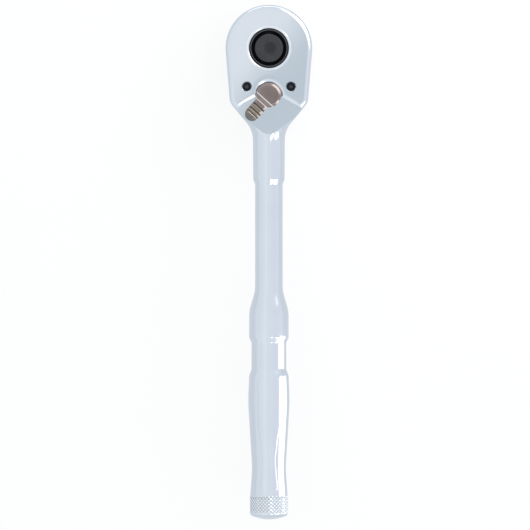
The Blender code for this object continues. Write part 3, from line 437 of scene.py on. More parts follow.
def tintMasks(tree, look):
    masks = []
    # bands across the lever's arm: a lighter arm, painted highlights and painted shade
    for place, half, tint in look.get("bands", []):
        slab = {"Direction": armWay, "Place": armZero + place, "Half Width": half}
        masks.append((addGroup(tree, band, slab), tint))
    for centre, inner, outer, tint in look.get("spots", []):
        masks.append((addGroup(tree, spot, {"Centre": centre, "Inner": inner, "Outer": outer}), tint))
    # rings: a painted highlight on the drive's journal, painted shade in the button's gap
    for inner, outer, fade, tint in look.get("rings", []):
        wide = addGroup(tree, spot, {"Inner": outer - fade, "Outer": outer})
        narrow = addGroup(tree, spot, {"Inner": inner, "Outer": inner + fade})
        masks.append((calc(tree, "SUBTRACT", wide, narrow), tint))
    return masks


def metalFinish(name, look):
    material = bpy.data.materials.new(name)
    material.use_nodes = True
    tree = material.node_tree
    cloudScale, cloudContrast, cloudHeight = look["clouds"]
    turn, stretch, lineHeight = look["lines"]
    clouds = addGroup(tree, mottle, {"Scale": cloudScale, "Detail": 3.0, "Contrast": cloudContrast})
    lines = addGroup(tree, grain, {"Turn": turn, "Stretch": stretch})
    colour = mixColour(tree, clouds, look["darker"], look["lighter"])
    if "valley" in look:
        # painted shade in the knurl's valleys
        colour = mixColour(tree, addGroup(tree, valleys, look["valley"]), look["valleyTint"], colour)
    for mask, tint in tintMasks(tree, look):
        colour = mixColour(tree, mask, colour, tint)
    height = calc(tree, "MULTIPLY_ADD", clouds, cloudHeight, ranged(tree, lines, (0.0, lineHeight)))
    if "crown" in look:
        height = calc(tree, "ADD", height, addGroup(tree, crown, look["crown"]))
    bump = addNode(tree, "ShaderNodeBump", {"Height": height, "Distance": mm, "Strength": 1.0})
    shader = tree.nodes["Principled BSDF"].inputs
    shader["Metallic"].default_value = look.get("metallic", 1.0)
    shader["Specular IOR Level"].default_value = look.get("shine", 0.5)
    tree.links.new(colour, shader["Base Color"])
    tree.links.new(ranged(tree, lines, look["roughness"]), shader["Roughness"])
    tree.links.new(bump.outputs["Normal"], shader["Normal"])
    return material


finishes = {name: metalFinish(name, look) for name, look in looks.items()}
print("finishes made")


# the forging: head, neck, shank and grip

forging = {
    "headRadius": 16.0, "shoulder": (14.4, -20.0), "shoulderFillet": 4.4,
    "back": 27.0, "front": 11.6, "edge": 1.8, "axis": 18.8,
    "crownStart": -24.0, "crownLength": 12.2, "roundLength": 9.8,
    "along": [  # half width, place and fillet, from the neck to the end
        (5.95, -30.3, 10.3), (5.8, -48.4, 0.8), (5.1, -50.3, 0.8), (5.1, -89.5, 14.0), (7.3, -97.0, 14.0),
        (7.3, -106.8, 0.8), (6.43, -108.7, 0.8), (6.43, -118.4, 0.8), (7.3, -120.9, 0.8),
        (7.7, -130.5, 60.0), (6.2, -155.0, 40.0), (7.0, -166.5, 15.0), (7.0, -172.45, 1.8),
        (5.0, -173.16, 4.0), (3.4, -173.62, 6.0), (1.7, -173.905, 6.0), (0.0, -174.0, 0.0)],
    "ringSteps": [  # down to this place, rings no further apart than this
        (-20.0, 4.0), (-24.0, 1.2), (-37.0, 0.5), (-120.0, 1.2), (-164.0, 0.45), (-173.0, 0.25),
        (-999.0, 1.2)],
    "splitAt": -52.0, "flatAngle": 0.05,
    "tipSteps": 40, "fineTop": 40, "coarseTop": 14, "lower": 22,
}
panel = {
    "start": -121.6, "end": -164.4, "endRound": 2.6, "startRound": 1.2, "height": 0.15, "edge": 0.45,
    "halfWidth": [
        (-121.0, 4.0), (-139.0, 3.9), (-146.0, 2.9), (-152.0, 2.25), (-157.0, 2.6), (-162.0, 3.1),
        (-165.0, 3.2)],
}
knurl = {
    "start": -165.2, "end": -172.0, "radii": (6.79, 6.82), "height": 0.29, "recess": 0.16, "ramp": 0.6,
    "around": 32, "rows": 10, "rounding": (-171.18, 1.8),
}


def lookUp(table, value):
    for (y0, w0), (y1, w1) in zip(table, table[1:]):
        if y0 >= value >= y1:
            return between(w0, w1, blendStep((y0 - value) / (y0 - y1)))
    return table[0][1] if value > table[0][0] else table[-1][1]


def tangentArc(radius, corner, steps):
    # from the tip round to where a straight line leaves for the corner
    turn = math.atan2(corner.y, corner.x) + math.acos(radius / corner.length)
    return arcPoints((0, 0), radius, quarter, turn, steps)


def planPath():
    shoulder = Vector(forging["shoulder"])
    tip = tangentArc(forging["headRadius"], shoulder, forging["tipSteps"])
    side = roundedPath([(*tip[-1], 0), (*shoulder, forging["shoulderFillet"])] + forging["along"])
    return tip[:-1] + side


def denser(path):
    dense = [path[0]]
    for before, after in zip(path, path[1:]):
        step = next(step for limit, step in forging["ringSteps"] if before.y >= limit)
        pieces = max(1, math.ceil((after - before).length / step))
        dense += [before.lerp(after, i / pieces) for i in range(1, pieces + 1)]
    return dense


def roundEnd(distance, reach):
    return math.sqrt(max(0.0, 1 - (1 - max(distance, 0) / reach) ** 2)) if distance < reach else 1.0


def panelRise(x, y):
    width = lookUp(panel["halfWidth"], y)
    width *= roundEnd(y - panel["end"], panel["endRound"])
    width *= roundEnd(panel["start"] - y, panel["startRound"])
    return panel["height"] * blendStep((width - abs(x)) / panel["edge"] + 0.5) if width > 0 else 0.0


def crownShare(y, length):
    return blendStep((forging["crownStart"] - y) / length)


def halfRing(point, inward):
    share = crownShare(point.y, forging["crownLength"])
    edge = between(forging["edge"], point.x, crownShare(point.y, forging["roundLength"]))
    top = between(forging["back"], forging["axis"] + point.x, share)
    bottom = between(forging["front"], forging["axis"] - point.x, share)
    fine, coarse, lower = forging["fineTop"], forging["coarseTop"], forging["lower"]
    eighth = math.pi / 4
    turns = [quarter - eighth * i / fine for i in range(fine)]
    turns += [eighth - eighth * i / coarse for i in range(coarse + 1)]
    below = [quarter * i / lower for i in range(lower + 1)]
    ring = [(edge * (1 - math.cos(t)), top - edge + edge * math.sin(t)) for t in turns]
    ring += [(edge * (1 - math.cos(t)), bottom + edge - edge * math.sin(t)) for t in below]
    middle = (point + inward * edge).y
    places = [(0.0, middle, top)]
    for depth, z in ring:
        place = point + inward * depth
        places.append((max(place.x, 0.0), place.y, z))
    places.append((0.0, middle, bottom))
    return places if point.y > panel["start"] else [gripShape(*place) for place in places]


def gripShape(x, y, z):
    # the raised panel on top, and the shallow recess that the knurl stands in
    out = Vector((x, z - forging["axis"]))
    sink = -panelRise(x, y) if out.y > 0 else 0.0
    sink += knurl["recess"] * blendStep(min(knurl["start"] - y, y - knurl["end"]) / knurl["ramp"])
    length = max(out.length, 1e-6)
    return x - out.x / length * sink, y, z - out.y / length * sink


def forgingRings(path):
    rings = []
    for i, point in enumerate(path):
        along = (path[min(i + 1, len(path) - 1)] - path[max(i - 1, 0)]).normalized()
        inward = Vector((along.y, -along.x)) if i else Vector((0.0, -1.0))
        inward = inward.lerp(Vector((-1.0, 0.0)), crownShare(point.y, forging["crownLength"])).normalized()
        rings.append(halfRing(point, inward))
    return rings


def skinned(name, rings, capped):
    places, faces = [], []
    count = len(rings[0])
    for sign in (1, -1):
        base = len(places)
        places += [(sign * x, y, z) for ring in rings for x, y, z in ring]
        for r in range(len(rings) - 1):
            for k in range(count - 1):
                a = base + r * count + k
                face = (a, a + count, a + count + 1, a + 1)
                faces.append(face if sign > 0 else face[::-1])
    if capped:
        last = (len(rings) - 1) * count
        right = [last + k for k in range(count)]
        left = [count * len(rings) + last + k for k in range(count - 2, 0, -1)]
        faces.append(tuple(right + left))
    return meshFrom(name, places, faces)


head = {
    "boreRadius": 7.4, "sealGroove": (8.21, 24.25, 0.55), "ceiling": 21.5, "cavityRadius": 10.2,
    "cavityTurn": -28.0, "cavitySide": [(9.30, -8.05), (9.05, -9.90), (4.40, -14.90)],
    "leverRoom": (3.2, 20.0),
    "leverY": -17.4, "pocketRadius": 4.75, "pocketDepth": 1.5, "wallAngle": 61.0, "wallOffset": 1.80,
    "reach": 21.0, "wallShares": (0.01, 0.03, 0.08, 0.2, 0.4, 0.7, 1.0), "wedge": (1.3, -0.25),
    "rimWidth": 1.7, "rimDepth": 0.45, "rimStart": 0.6, "rimStop": 0.04, "rimWiden": 0.9, "rimSteps": 12,
    "rimOver": (1.0, 1.3), "lean": 0.1, "floorRound": 0.06, "floorSteps": 5,
    "shaftBore": 2.35, "shaftTop": 26.5, "pawlY": -12.3, "pinHole": (1.15, 1.5),
    "screw": (8.16, -14.2), "screwHead": 1.72, "screwHole": 1.35, "screwSeat": 25.07, "screwChamfer": 0.26,
    "seatTop": 13.68, "seatGap": 0.3,
    "coverEdge": 12.4, "coverCorner": (11.06, -17.4), "coverLow": (5.4, -22.8), "coverFillet": 3.0,
    "over": 30, "screwOver": 2, "inCavity": 19,  # where the cutters end
    "underScrew": 10, "underCavity": 9, "underSeat": 8,
    "hubSteps": 24, "cavitySteps": 48, "roomSteps": 14, "coverSteps": 48,
    "lip": [(7.30, 26.2), (7.30, 26.90), (7.34, 26.94), (7.70, 27.085), (7.77, 27.10), (7.85, 27.10),
            (7.96, 27.08), (8.24, 27.015), (8.36, 26.995), (8.36, 26.2)],
}
leverPlace = (0, head["leverY"])
pawlPlace = (0, head["pawlY"])
screwPlaces = {side: (side * head["screw"][0], head["screw"][1]) for side in (-1, 1)}


def pocketOutline(spread):
    along = fromHandle(1, math.radians(head["wallAngle"]))
    across = Vector((-along.y, along.x))
    radius = head["pocketRadius"] + spread
    offset, farOffset = (head["wallOffset"] + spread * share for share in head["wedge"])
    meet = across * offset + along * math.sqrt(radius ** 2 - offset ** 2)
    far = across * farOffset + along * head["reach"]
    hub = []
    for point in arcPoints((0, 0), radius, quarter, math.atan2(meet.y, meet.x), head["hubSteps"]):
        up = max(point.y / radius, 0.0)
        hub.append(point * (1 + head["rimWiden"] * max(spread, 0.0) / radius * up * up))
    wall = [meet.lerp(far, share) for share in head["wallShares"]]
    return bothSides(hub + wall + [Vector((far.x, -head["reach"]))])


def pocketTool():
    back, small, rim = forging["back"], head["floorRound"], head["rimWidth"]
    floor = back - head["pocketDepth"]
    levels = []
    for i in range(head["floorSteps"]):  # hollow corner at the floor
        t = quarter * i / head["floorSteps"]
        levels.append((floor + small * (1 - math.cos(t)), -small + small * math.sin(t) - head["lean"]))
    low = head["rimStart"]
    for i in range(head["rimSteps"] + 1):  # rounded rim up to the face
        t = between(low, quarter - head["rimStop"], i / head["rimSteps"])
        up = (math.sin(t) - math.sin(low)) / (1 - math.sin(low))
        levels.append((back - head["rimDepth"] * (1 - up), rim * (1 - math.cos(t) / math.cos(low))))
    rise, widen = head["rimOver"]
    levels.append((back + rise, rim * widen))
    return stacked("pocketTool", [(z, pocketOutline(s)) for z, s in levels], leverPlace)


def cavityOutline():
    end = math.radians(head["cavityTurn"])
    gearSide = arcPoints((0, 0), head["cavityRadius"], quarter, end, head["cavitySteps"])
    radius, start = head["leverRoom"]
    leverSide = arcPoints(leverPlace, radius, math.radians(start), -quarter, head["roomSteps"])
    return bothSides(gearSide + [Vector(p) for p in head["cavitySide"]] + leverSide)


def coverOutline(spread):
    corner = Vector(head["coverCorner"]) + Vector((spread, 0))
    lowX, lowY = head["coverLow"]
    tip = tangentArc(head["coverEdge"] + spread, corner, head["coverSteps"])
    side = roundedPath([
        (*tip[-1], 0), (*corner, head["coverFillet"]),
        (lowX + spread, lowY - spread, head["coverFillet"]), (0, lowY - spread, 0)])
    return bothSides(tip[:-1] + side[:-1])


def headTools():
    bore, over, inside = head["boreRadius"], head["over"], head["inCavity"]
    cavity, seat = cavityOutline(), coverOutline(head["seatGap"])
    pinRadius, pinDepth = head["pinHole"]
    tools = [
        pocketTool(),
        turned("boreTool", [
            (0, over), (bore, over), *grooved(bore, head["sealGroove"]), (bore, inside), (0, inside)]),
        stacked("cavityTool", [(head["underCavity"], cavity), (head["ceiling"], cavity)]),
        stacked("seatTool", [(head["underSeat"], seat), (head["seatTop"], seat)]),
        turned("shaftTool", plug(head["shaftBore"], inside, head["shaftTop"]), 48, leverPlace),
        turned("pinTool", plug(pinRadius, inside, head["ceiling"] + pinDepth), 32, pawlPlace)]
    back, big, small = forging["back"], head["screwHead"], head["screwHole"]
    slope, rest, under = head["screwChamfer"], head["screwSeat"], head["underScrew"]
    rise = head["screwOver"]
    hole = [(0, back + rise), (big + slope + rise, back + rise), (big, back - slope), (big, rest),
            (small, rest), (small, under), (0, under)]
    return tools + [turned("screwTool", hole, 64, place) for place in screwPlaces.values()]


def flatten(form):
    angle = math.radians(forging["flatAngle"])
    bmesh.ops.dissolve_limit(form, angle_limit=angle, verts=form.verts, edges=form.edges)


def openEnd(form, capY):
    cap = [f for f in form.faces if f.normal.y < -0.99 and abs(f.calc_center_median().y - capY) < 1e-6]
    bmesh.ops.delete(form, geom=cap, context="FACES")


def weld(form):
    bmesh.ops.remove_doubles(form, verts=form.verts, dist=2e-7)


def makeForging():
    # the head end takes the cuts, and the grip end has the fine rings
    path = denser(planPath())
    rings = forgingRings(path)
    split = next(i for i, p in enumerate(path) if p.y < forging["splitAt"])
    headEnd = skinned("headEnd", rings[:split + 1], True)
    gripEnd = skinned("gripEnd", rings[split:], False)
    editMesh(headEnd.data, flatten)
    combine(headEnd, headTools())
    editMesh(headEnd.data, openEnd, max(p.co.y for p in gripEnd.data.vertices))
    whole = joined("chromeForging", [headEnd, gripEnd])
    editMesh(whole.data, weld)
    return smoothFaces(whole)


finishPiece(makeForging(), "handle", "chrome", finishes["polishedChrome"], "handle_body")
# the bore's lip, in a lighter copy of the chrome: a painted highlight
boreLip = smoothFaces(turned("boreLip", head["lip"], 128, closed=True))
finishPiece(boreLip, "handle", "chrome", finishes["litLipChrome"])


# diamond knurl at the end of the grip

def knurlTree(sizes):
    tree = bpy.data.node_groups.new("diamondKnurl", "GeometryNodeTree")
    for direction in ("INPUT", "OUTPUT"):
        tree.interface.new_socket(name="Geometry", in_out=direction, socket_type="NodeSocketGeometry")
    addInputs(tree, sizes)
    start = addNode(tree, "NodeGroupInput").outputs

    def work(operation, *values):
        return calc(tree, operation, *values)

    index = addNode(tree, "GeometryNodeInputIndex").outputs[0]
    row = work("FLOOR", work("DIVIDE", index, start["Around"]))
    column = work("MODULO", index, start["Around"])
    shifted = work("ADD", column, work("MULTIPLY", work("MODULO", row, 2.0), 0.5))  # every other row by half
    turn = work("MULTIPLY", work("DIVIDE", shifted, start["Around"]), fullTurn)
    share = work("DIVIDE", work("ADD", row, 0.5), start["Rows"])
    length = work("SUBTRACT", start["End"], start["Start"])
    along = work("ADD", start["Start"], work("MULTIPLY", share, length))
    growth = work("SUBTRACT", start["End Radius"], start["Start Radius"])
    straight = work("ADD", start["Start Radius"], work("MULTIPLY", share, growth))
    past = work("MAXIMUM", work("SUBTRACT", start["Rounding Start"], along), 0.0)  # round the rim
    square = work("MULTIPLY", start["Rounding Radius"], start["Rounding Radius"])
    level = work("SQRT", work("SUBTRACT", square, work("MULTIPLY", past, past)))
    radius = work("SUBTRACT", straight, work("SUBTRACT", start["Rounding Radius"], level))
    lifted = work("ADD", work("MULTIPLY", work("COSINE", turn), radius), start["Axis Height"])
    points = addNode(tree, "GeometryNodePoints", {
        "Count": work("MULTIPLY", start["Around"], start["Rows"]),
        "Position": vectorFrom(tree, work("MULTIPLY", work("SINE", turn), radius), along, lifted)})
    tilt = work("ARCSINE", work("DIVIDE", past, start["Rounding Radius"]))
    align = addNode(tree, "FunctionNodeEulerToRotation", {0: vectorFrom(tree, tilt, turn, 0.0)})
    pitch = work("DIVIDE", work("MULTIPLY", radius, fullTurn), start["Around"])
    rowStep = work("ABSOLUTE", work("DIVIDE", length, start["Rows"]))
    tooth = addNode(tree, "GeometryNodeMeshCone", {
        "Vertices": 4, "Radius Top": 0.0, "Radius Bottom": 1.0, "Depth": 1.0}, fill_type="NGON")
    teeth = addNode(tree, "GeometryNodeInstanceOnPoints", {
        "Points": points.outputs[0], "Instance": tooth.outputs["Mesh"], "Rotation": align.outputs[0],
        "Scale": vectorFrom(tree, work("MULTIPLY", pitch, 0.5), rowStep, start["Tooth Height"])})
    real = addNode(tree, "GeometryNodeRealizeInstances", {"Geometry": teeth.outputs[0]})
    painted = addNode(tree, "GeometryNodeSetMaterial", {
        "Geometry": real.outputs[0], "Material": start["Finish"]})
    addNode(tree, "NodeGroupOutput", {"Geometry": painted.outputs[0]})
    return tree


def makeKnurl():
    lengths = {
        "Start": knurl["start"], "End": knurl["end"], "Start Radius": knurl["radii"][0],
        "End Radius": knurl["radii"][1], "Axis Height": forging["axis"], "Tooth Height": knurl["height"],
        "Rounding Start": knurl["rounding"][0], "Rounding Radius": knurl["rounding"][1]}
    sizes = {name: length * mm for name, length in lengths.items()}
    sizes.update({"Around": knurl["around"], "Rows": knurl["rows"], "Finish": finishes["knurledChrome"]})
    tree = knurlTree(sizes)
    obj = newObject("knurlBand", bpy.data.meshes.new("knurlBand"))
    modifier = obj.modifiers.new("diamondKnurl", "NODES")
    modifier.node_group = tree
    for item in tree.interface.items_tree:
        if item.in_out == "INPUT" and item.name in sizes:
            modifier[item.identifier] = sizes[item.name]
    makePlain(obj)
    return obj


finishPiece(makeKnurl(), "handle", "chrome", finishes["knurledChrome"])


# reversing lever, as a grid over its plan: the top follows the arm, and its edge is bevelled

lever = {
    "hub": 4.45, "halfWidth": 2.6, "length": 11.9, "bevel": 0.85, "bevelSlope": 0.6, "bottom": 25.8,
    "top": 28.1, "turn": -42.0, "slopeStart": 2.1, "slopeEnd": 3.9, "armTop": 27.15, "tipTop": 26.80,
    "soft": 0.14, "softSteps": 4, "grooves": (5.7, 7.7, 9.15), "grooveWidth": 0.28, "grooveDepth": 0.34,
    "columns": 28, "crowding": 1.8, "hubSteps": 30, "tipSteps": 20, "halvings": 40,
    "fineStep": 0.05, "coarseStep": 0.12, "fineNear": 0.3,
    "shaft": [(0, 25.9), (2.2, 25.9), (2.2, 23.95), (1.59, 23.95), (1.59, 23.05), (2.2, 23.05), (2.2, 21.28),
              (1.7, 21.28), (1.7, 20.67), (2.2, 20.67), (2.2, 13.9), (0, 13.9)],
    "plunger": (1.0, -1.61, 17.5), "plungerMouth": 5,
}


def leverInside(x, v):
    # distance in from the outline
    tip = lever["length"] - lever["halfWidth"]
    hub = lever["hub"] - math.hypot(x, v)
    arm = lever["halfWidth"] - abs(x)
    if v < 0:
        arm = -1.0
    if v > tip:
        arm = lever["halfWidth"] - math.hypot(x, v - tip)
    return max(hub, arm)


def leverTop(v):
    top = lever["top"]
    if v > lever["slopeStart"]:
        share = min((v - lever["slopeStart"]) / (lever["slopeEnd"] - lever["slopeStart"]), 1.0)
        top = between(lever["top"], lever["armTop"], share)
    if v > lever["slopeEnd"]:
        share = (v - lever["slopeEnd"]) / (lever["length"] - lever["slopeEnd"])
        top = between(lever["armTop"], lever["tipTop"], share)
    for groove in lever["grooves"]:
        off = abs(v - groove) / lever["grooveWidth"]
        if off < 1:
            top -= lever["grooveDepth"] * math.sqrt(1 - off * off)
    return top


def leverSoftTop(v):
    steps = lever["softSteps"]
    return sum(leverTop(v + lever["soft"] * i / steps) for i in range(-steps, steps + 1)) / (2 * steps + 1)


def leverWidth(v):
    low, high = 0.0, lever["hub"] + 1
    for _ in range(lever["halvings"]):
        middle = (low + high) / 2
        if leverInside(middle, v) > 0:
            low = middle
        else:
            high = middle
    return low


def leverStations():
    tip = lever["length"] - lever["halfWidth"]
    marks = [lever["slopeStart"], lever["slopeEnd"]]
    for groove in lever["grooves"]:
        marks += [groove - lever["grooveWidth"], groove + lever["grooveWidth"]]
    hubSteps, tipSteps = lever["hubSteps"], lever["tipSteps"]
    stations = [-lever["hub"] * math.cos(quarter * i / hubSteps) for i in range(hubSteps)]
    v = 0.0
    while v < tip:
        stations.append(v)
        near = min(abs(v - m) for m in marks)
        v += lever["fineStep"] if near < lever["fineNear"] else lever["coarseStep"]
    ends = [quarter * i / tipSteps for i in range(1, tipSteps + 1)]
    return stations + [tip + lever["halfWidth"] * math.sin(t) for t in ends]


def leverPlate():
    columns = lever["columns"]
    last = 2 * columns
    stations = leverStations()
    places, faces = [], []
    for v in stations:
        width = leverWidth(v)
        for side in range(last + 1):
            share = (side - columns) / columns
            x = math.copysign(1 - (1 - abs(share)) ** lever["crowding"], share) * width
            drop = max(0.0, lever["bevel"] - leverInside(x, v)) * lever["bevelSlope"]
            places.append((x, v, leverSoftTop(v) - drop))
        places += [(-width, v, lever["bottom"]), (width, v, lever["bottom"])]
    count = last + 3
    left, right = count - 2, count - 1
    for r in range(len(stations) - 1):
        a, b = r * count, (r + 1) * count
        for k in range(last):
            faces.append((a + k, a + k + 1, b + k + 1, b + k))
        faces.append((a + left, a, b, b + left))
        faces.append((a + last, a + right, b + right, b + last))
        faces.append((a + right, a + left, b + left, b + right))
    for a in (0, (len(stations) - 1) * count):
        faces.append(tuple(a + k for k in range(last + 1)) + (a + right, a + left))
    spun = []
    for x, v, z in places:
        flat = turnedBy(Vector((x, -v)), math.radians(lever["turn"]))
        spun.append((flat.x, flat.y + head["leverY"], z))
    return meshFrom("leverTop", spun, faces)


def makeLever():
    top = leverPlate()
    shaft = turned("leverShaft", lever["shaft"], 64, leverPlace)
    radius, back, height = lever["plunger"]
    hole = turned("plungerTool", plug(radius, back, lever["plungerMouth"]), 40)
    for vertex in hole.data.vertices:  # laid along the arm
        x, y, z = vertex.co / mm
        flat = turnedBy(Vector((x, z)), math.radians(lever["turn"]))
        vertex.co = Vector((flat.x, flat.y + head["leverY"], height - y)) * mm
    editMesh(hole.data, faceOut)
    combine(shaft, [hole])
    return smoothFaces(joined("reversingLever", [top, shaft]), 38)


finishPiece(makeLever(), "lever", "satin_nickel", finishes["satinNickel"], "reverse_lever")


# drive: journals, gear and square in one piece, bored for the quick release

drive = {
    "journal": 7.25, "journalEdge": 0.28, "soften": 0.12, "rearFoot": 1, "top": 27.4, "gear": (14.8, 21.2),
    "root": 9.2, "tipRadius": 9.75, "teeth": 72, "crest": 0.10, "foot": 0.40, "middle": 18,
    "front": 6.935, "frontBottom": 10.5, "frontEdge": 0.3, "frontGroove": (6.125, 12.6, 0.55),
    "square": 9.525, "squareCorner": 0.7, "squareChamfer": 0.8, "squareSteps": 6, "squareRoot": 1.5,
    "pocket": 6.3, "pocketEdge": 0.25, "ringGroove": (6.75, 27.08, 26.32), "pocketFloor": 21.1,
    "springBore": 2.9275, "springFloor": 15.2, "pinBore": 2.1375, "pinFloor": 1.6,
    "ball": (1.7375, 5.2), "ballReach": 12, "over": 30,
}


def gearOutline():
    pitch = fullTurn / drive["teeth"]
    shape = ((drive["root"], -drive["foot"]), (drive["tipRadius"], -drive["crest"]),
             (drive["tipRadius"], drive["crest"]), (drive["root"], drive["foot"]))
    return [fromHandle(r, (tooth + p) * pitch) for tooth in range(drive["teeth"]) for r, p in shape]


def squareOutline(spread):
    half = drive["square"] / 2 + spread
    corners = [(half, half), (half, -half), (-half, -half), (-half, half)]
    rounded = [(x, y, drive["squareCorner"]) for x, y in corners]
    return roundedPath([(0, half, 0), *rounded, (0, half, 0)], 0.01)[1:-1]


def makeSquare():
    chamfer, steps = drive["squareChamfer"], drive["squareSteps"]
    levels = [(drive["frontBottom"] + drive["squareRoot"], 0)]
    for i in range(steps + 1):  # tip of the square, rounded off
        t = quarter * i / steps
        levels.append((chamfer * (1 - math.sin(t)), -chamfer * (1 - math.cos(t))))
    return stacked("driveSquare", [(z, squareOutline(s)) for z, s in reversed(levels)])


def releaseTool():
    ring, ringHigh, ringLow = drive["ringGroove"]
    pocket, spring, pin = drive["pocket"], drive["springBore"], drive["pinBore"]
    mouth, over = drive["top"] - drive["pocketEdge"], drive["over"]
    floor, springFloor, pinFloor = drive["pocketFloor"], drive["springFloor"], drive["pinFloor"]
    return turned("releaseTool", [
        (0, over), (pocket + over - mouth, over), (pocket, mouth), (pocket, ringHigh), (ring, ringHigh),
        (ring, ringLow), (pocket, ringLow), (pocket, floor), (spring, floor), (spring, springFloor),
        (pin, springFloor), (pin, pinFloor), (0, pinFloor)])


def makeDrive():
    low, high = drive["gear"]
    top, journal, edge = drive["top"], drive["journal"], drive["journalEdge"]
    front, bottom, frontEdge = drive["front"], drive["frontBottom"], drive["frontEdge"]
    middle = drive["middle"]
    rear = softCorners(
        [(axisStart, top), (journal - edge, top), (journal, top - edge), (journal, high - drive["rearFoot"])],
        drive["soften"])
    anvil = turned("driveAnvil", [
        (0, top), *rear, (journal, middle), (front, middle), *grooved(front, drive["frontGroove"]),
        (front, bottom + frontEdge), (front - frontEdge, bottom), (0, bottom)], 128)
    square = makeSquare()
    gear = stacked("driveGear", [(low, gearOutline()), (high, gearOutline())])
    combine(anvil, [gear, square], "UNION")
    radius, height = drive["ball"]
    bore = releaseTool()
    hole = turned("ballTool", plug(radius, 0, drive["ballReach"]), 48)
    for vertex in hole.data.vertices:  # laid across, out to the ball's side
        x, y, z = vertex.co / mm
        vertex.co = Vector((z, y, height - x)) * mm
    combine(anvil, [bore, hole])
    editMesh(anvil.data, mergeClose, 3e-7)
    return smoothFaces(anvil, 30)


finishPiece(makeDrive(), "drive", "black_oxide", finishes["blackOxide"], "drive_anvil")


# release button, locking ball, cover plate and screws

button = {
    "profile": [(5.2, 26.1), (5.2, 27.72), (4.92, 28.0), (4.3, 27.97)], "soften": 0.25,
    "dish": (3.9, 0.42), "dishSteps": 16,
    "under": [(6.15, 26.1), (6.15, 23.8), (2.07, 23.8), (2.07, 25.8), (0, 25.8)],
}
ball = {"radius": 1.5875, "place": (3.875, 0.0, 5.2), "steps": 24}
screw = {
    "head": 1.65, "top": 26.75, "seat": 25.15, "soften": 0.12, "shank": 1.2, "end": 11.9,
    "socket": 1.05, "socketDepth": 0.9, "mouth": (0.1, 1.12), "clear": (1, 2.2),
}
cover = {
    "bottom": 11.6, "top": 13.6, "edge": 0.25, "edgeStep": 0.3, "opening": 7.085, "screwHole": 1.35,
    "pin": (1.15, 12.1), "over": 2,
}


def makeButton():
    radius, depth = button["dish"]
    top, steps = button["profile"][-1][1], button["dishSteps"]
    dish = [(radius * i / steps, top - depth * (1 - blendStep(i / steps))) for i in range(steps + 1)]
    rim = softCorners(button["profile"], button["soften"])
    return smoothFaces(turned("releaseButton", dish + rim[::-1] + button["under"], 128), 30)


def makeBall():
    radius, steps = ball["radius"], ball["steps"]
    x, y, z = ball["place"]
    turns = [math.pi * i / steps for i in range(steps + 1)]
    profile = [(radius * math.sin(t), z + radius * math.cos(t)) for t in turns]
    return smoothFaces(turned("lockingBall", profile, 2 * steps, (x, y)), 60)


def makeScrew(name, side):
    place, top, seat = screwPlaces[side], screw["top"], screw["seat"]
    wide, shank, socket = screw["head"], screw["shank"], screw["socket"]
    outer = softCorners([(axisStart, top), (wide, top), (wide, seat), (shank, seat)], screw["soften"])
    piece = turned(name, [(0, top)] + outer + [(shank, screw["end"]), (0, screw["end"])], 64, place)
    sixth = math.pi / 3
    hexagon = [Vector((socket * math.cos(sixth * i), socket * math.sin(sixth * i))) for i in range(6)]
    mouthDepth, mouthWiden = screw["mouth"]
    rise, clearWiden = screw["clear"]
    combine(piece, [stacked("socketTool", [
        (top - screw["socketDepth"], hexagon), (top - mouthDepth, hexagon),
        (top, [p * mouthWiden for p in hexagon]), (top + rise, [p * clearWiden for p in hexagon])], place)])
    return smoothFaces(piece, 30)


def makeCover():
    edge, bottom, top, over = cover["edge"], cover["bottom"], cover["top"], cover["over"]
    step = edge * cover["edgeStep"]
    plate = stacked("coverPlate", [
        (bottom, coverOutline(-edge)), (bottom + step, coverOutline(-edge * cover["edgeStep"])),
        (bottom + edge, coverOutline(0)), (top, coverOutline(0))])

    def flaredHole(name, radius, steps, place=(0, 0)):
        return turned(name, [
            (0, top + over), (radius, top + over), (radius, bottom + edge),
            (radius + edge + over, bottom - over), (0, bottom - over)], steps, place)

    radius, floor = cover["pin"]
    tools = [
        flaredHole("openingTool", cover["opening"], 128),
        turned("pinTool", plug(radius, floor, top + over), 40, pawlPlace)]
    tools += [flaredHole("holeTool", cover["screwHole"], 48, place) for place in screwPlaces.values()]
    combine(plate, tools)
    return smoothFaces(plate, 30)


finishPiece(makeButton(), "button", "button_grey", finishes["buttonGrey"], "release_button")
finishPiece(makeBall(), "ball", "bright_steel", finishes["groundSteel"], "lock_ball")
leftScrew, rightScrew = makeScrew("coverScrewLeft", -1), makeScrew("coverScrewRight", 1)
finishPiece(leftScrew, "handle", "black_oxide", finishes["screwBlack"], "cover_screw_left")
finishPiece(rightScrew, "handle", "black_oxide", finishes["screwBlack"], "cover_screw_right")
finishPiece(makeCover(), "handle", "chrome", finishes["polishedChrome"], "cover_plate")


# springs, each listed with the joint that presses it

springs = {
    "releaseSpring": {
        "start": (0, 0, 15.5), "way": (0, 0, 1), "radius": 2.5875, "wire": 0.3, "length": 8.0, "turns": 7,
        "body": "drive", "joint": "button_press", "keep": 0.72, "node": "release_spring"},
    "plungerSpring": {
        "start": (-1.0238, -18.537, 17.5), "way": (0.669131, 0.743145, 0), "radius": 0.72, "wire": 0.13,
        "length": 1.7, "turns": 2,
        "body": "lever", "joint": "plunger_push", "keep": 0.85, "node": "plunger_spring"},
}
coilSteps = {"perTurn": 28, "aroundWire": 12}


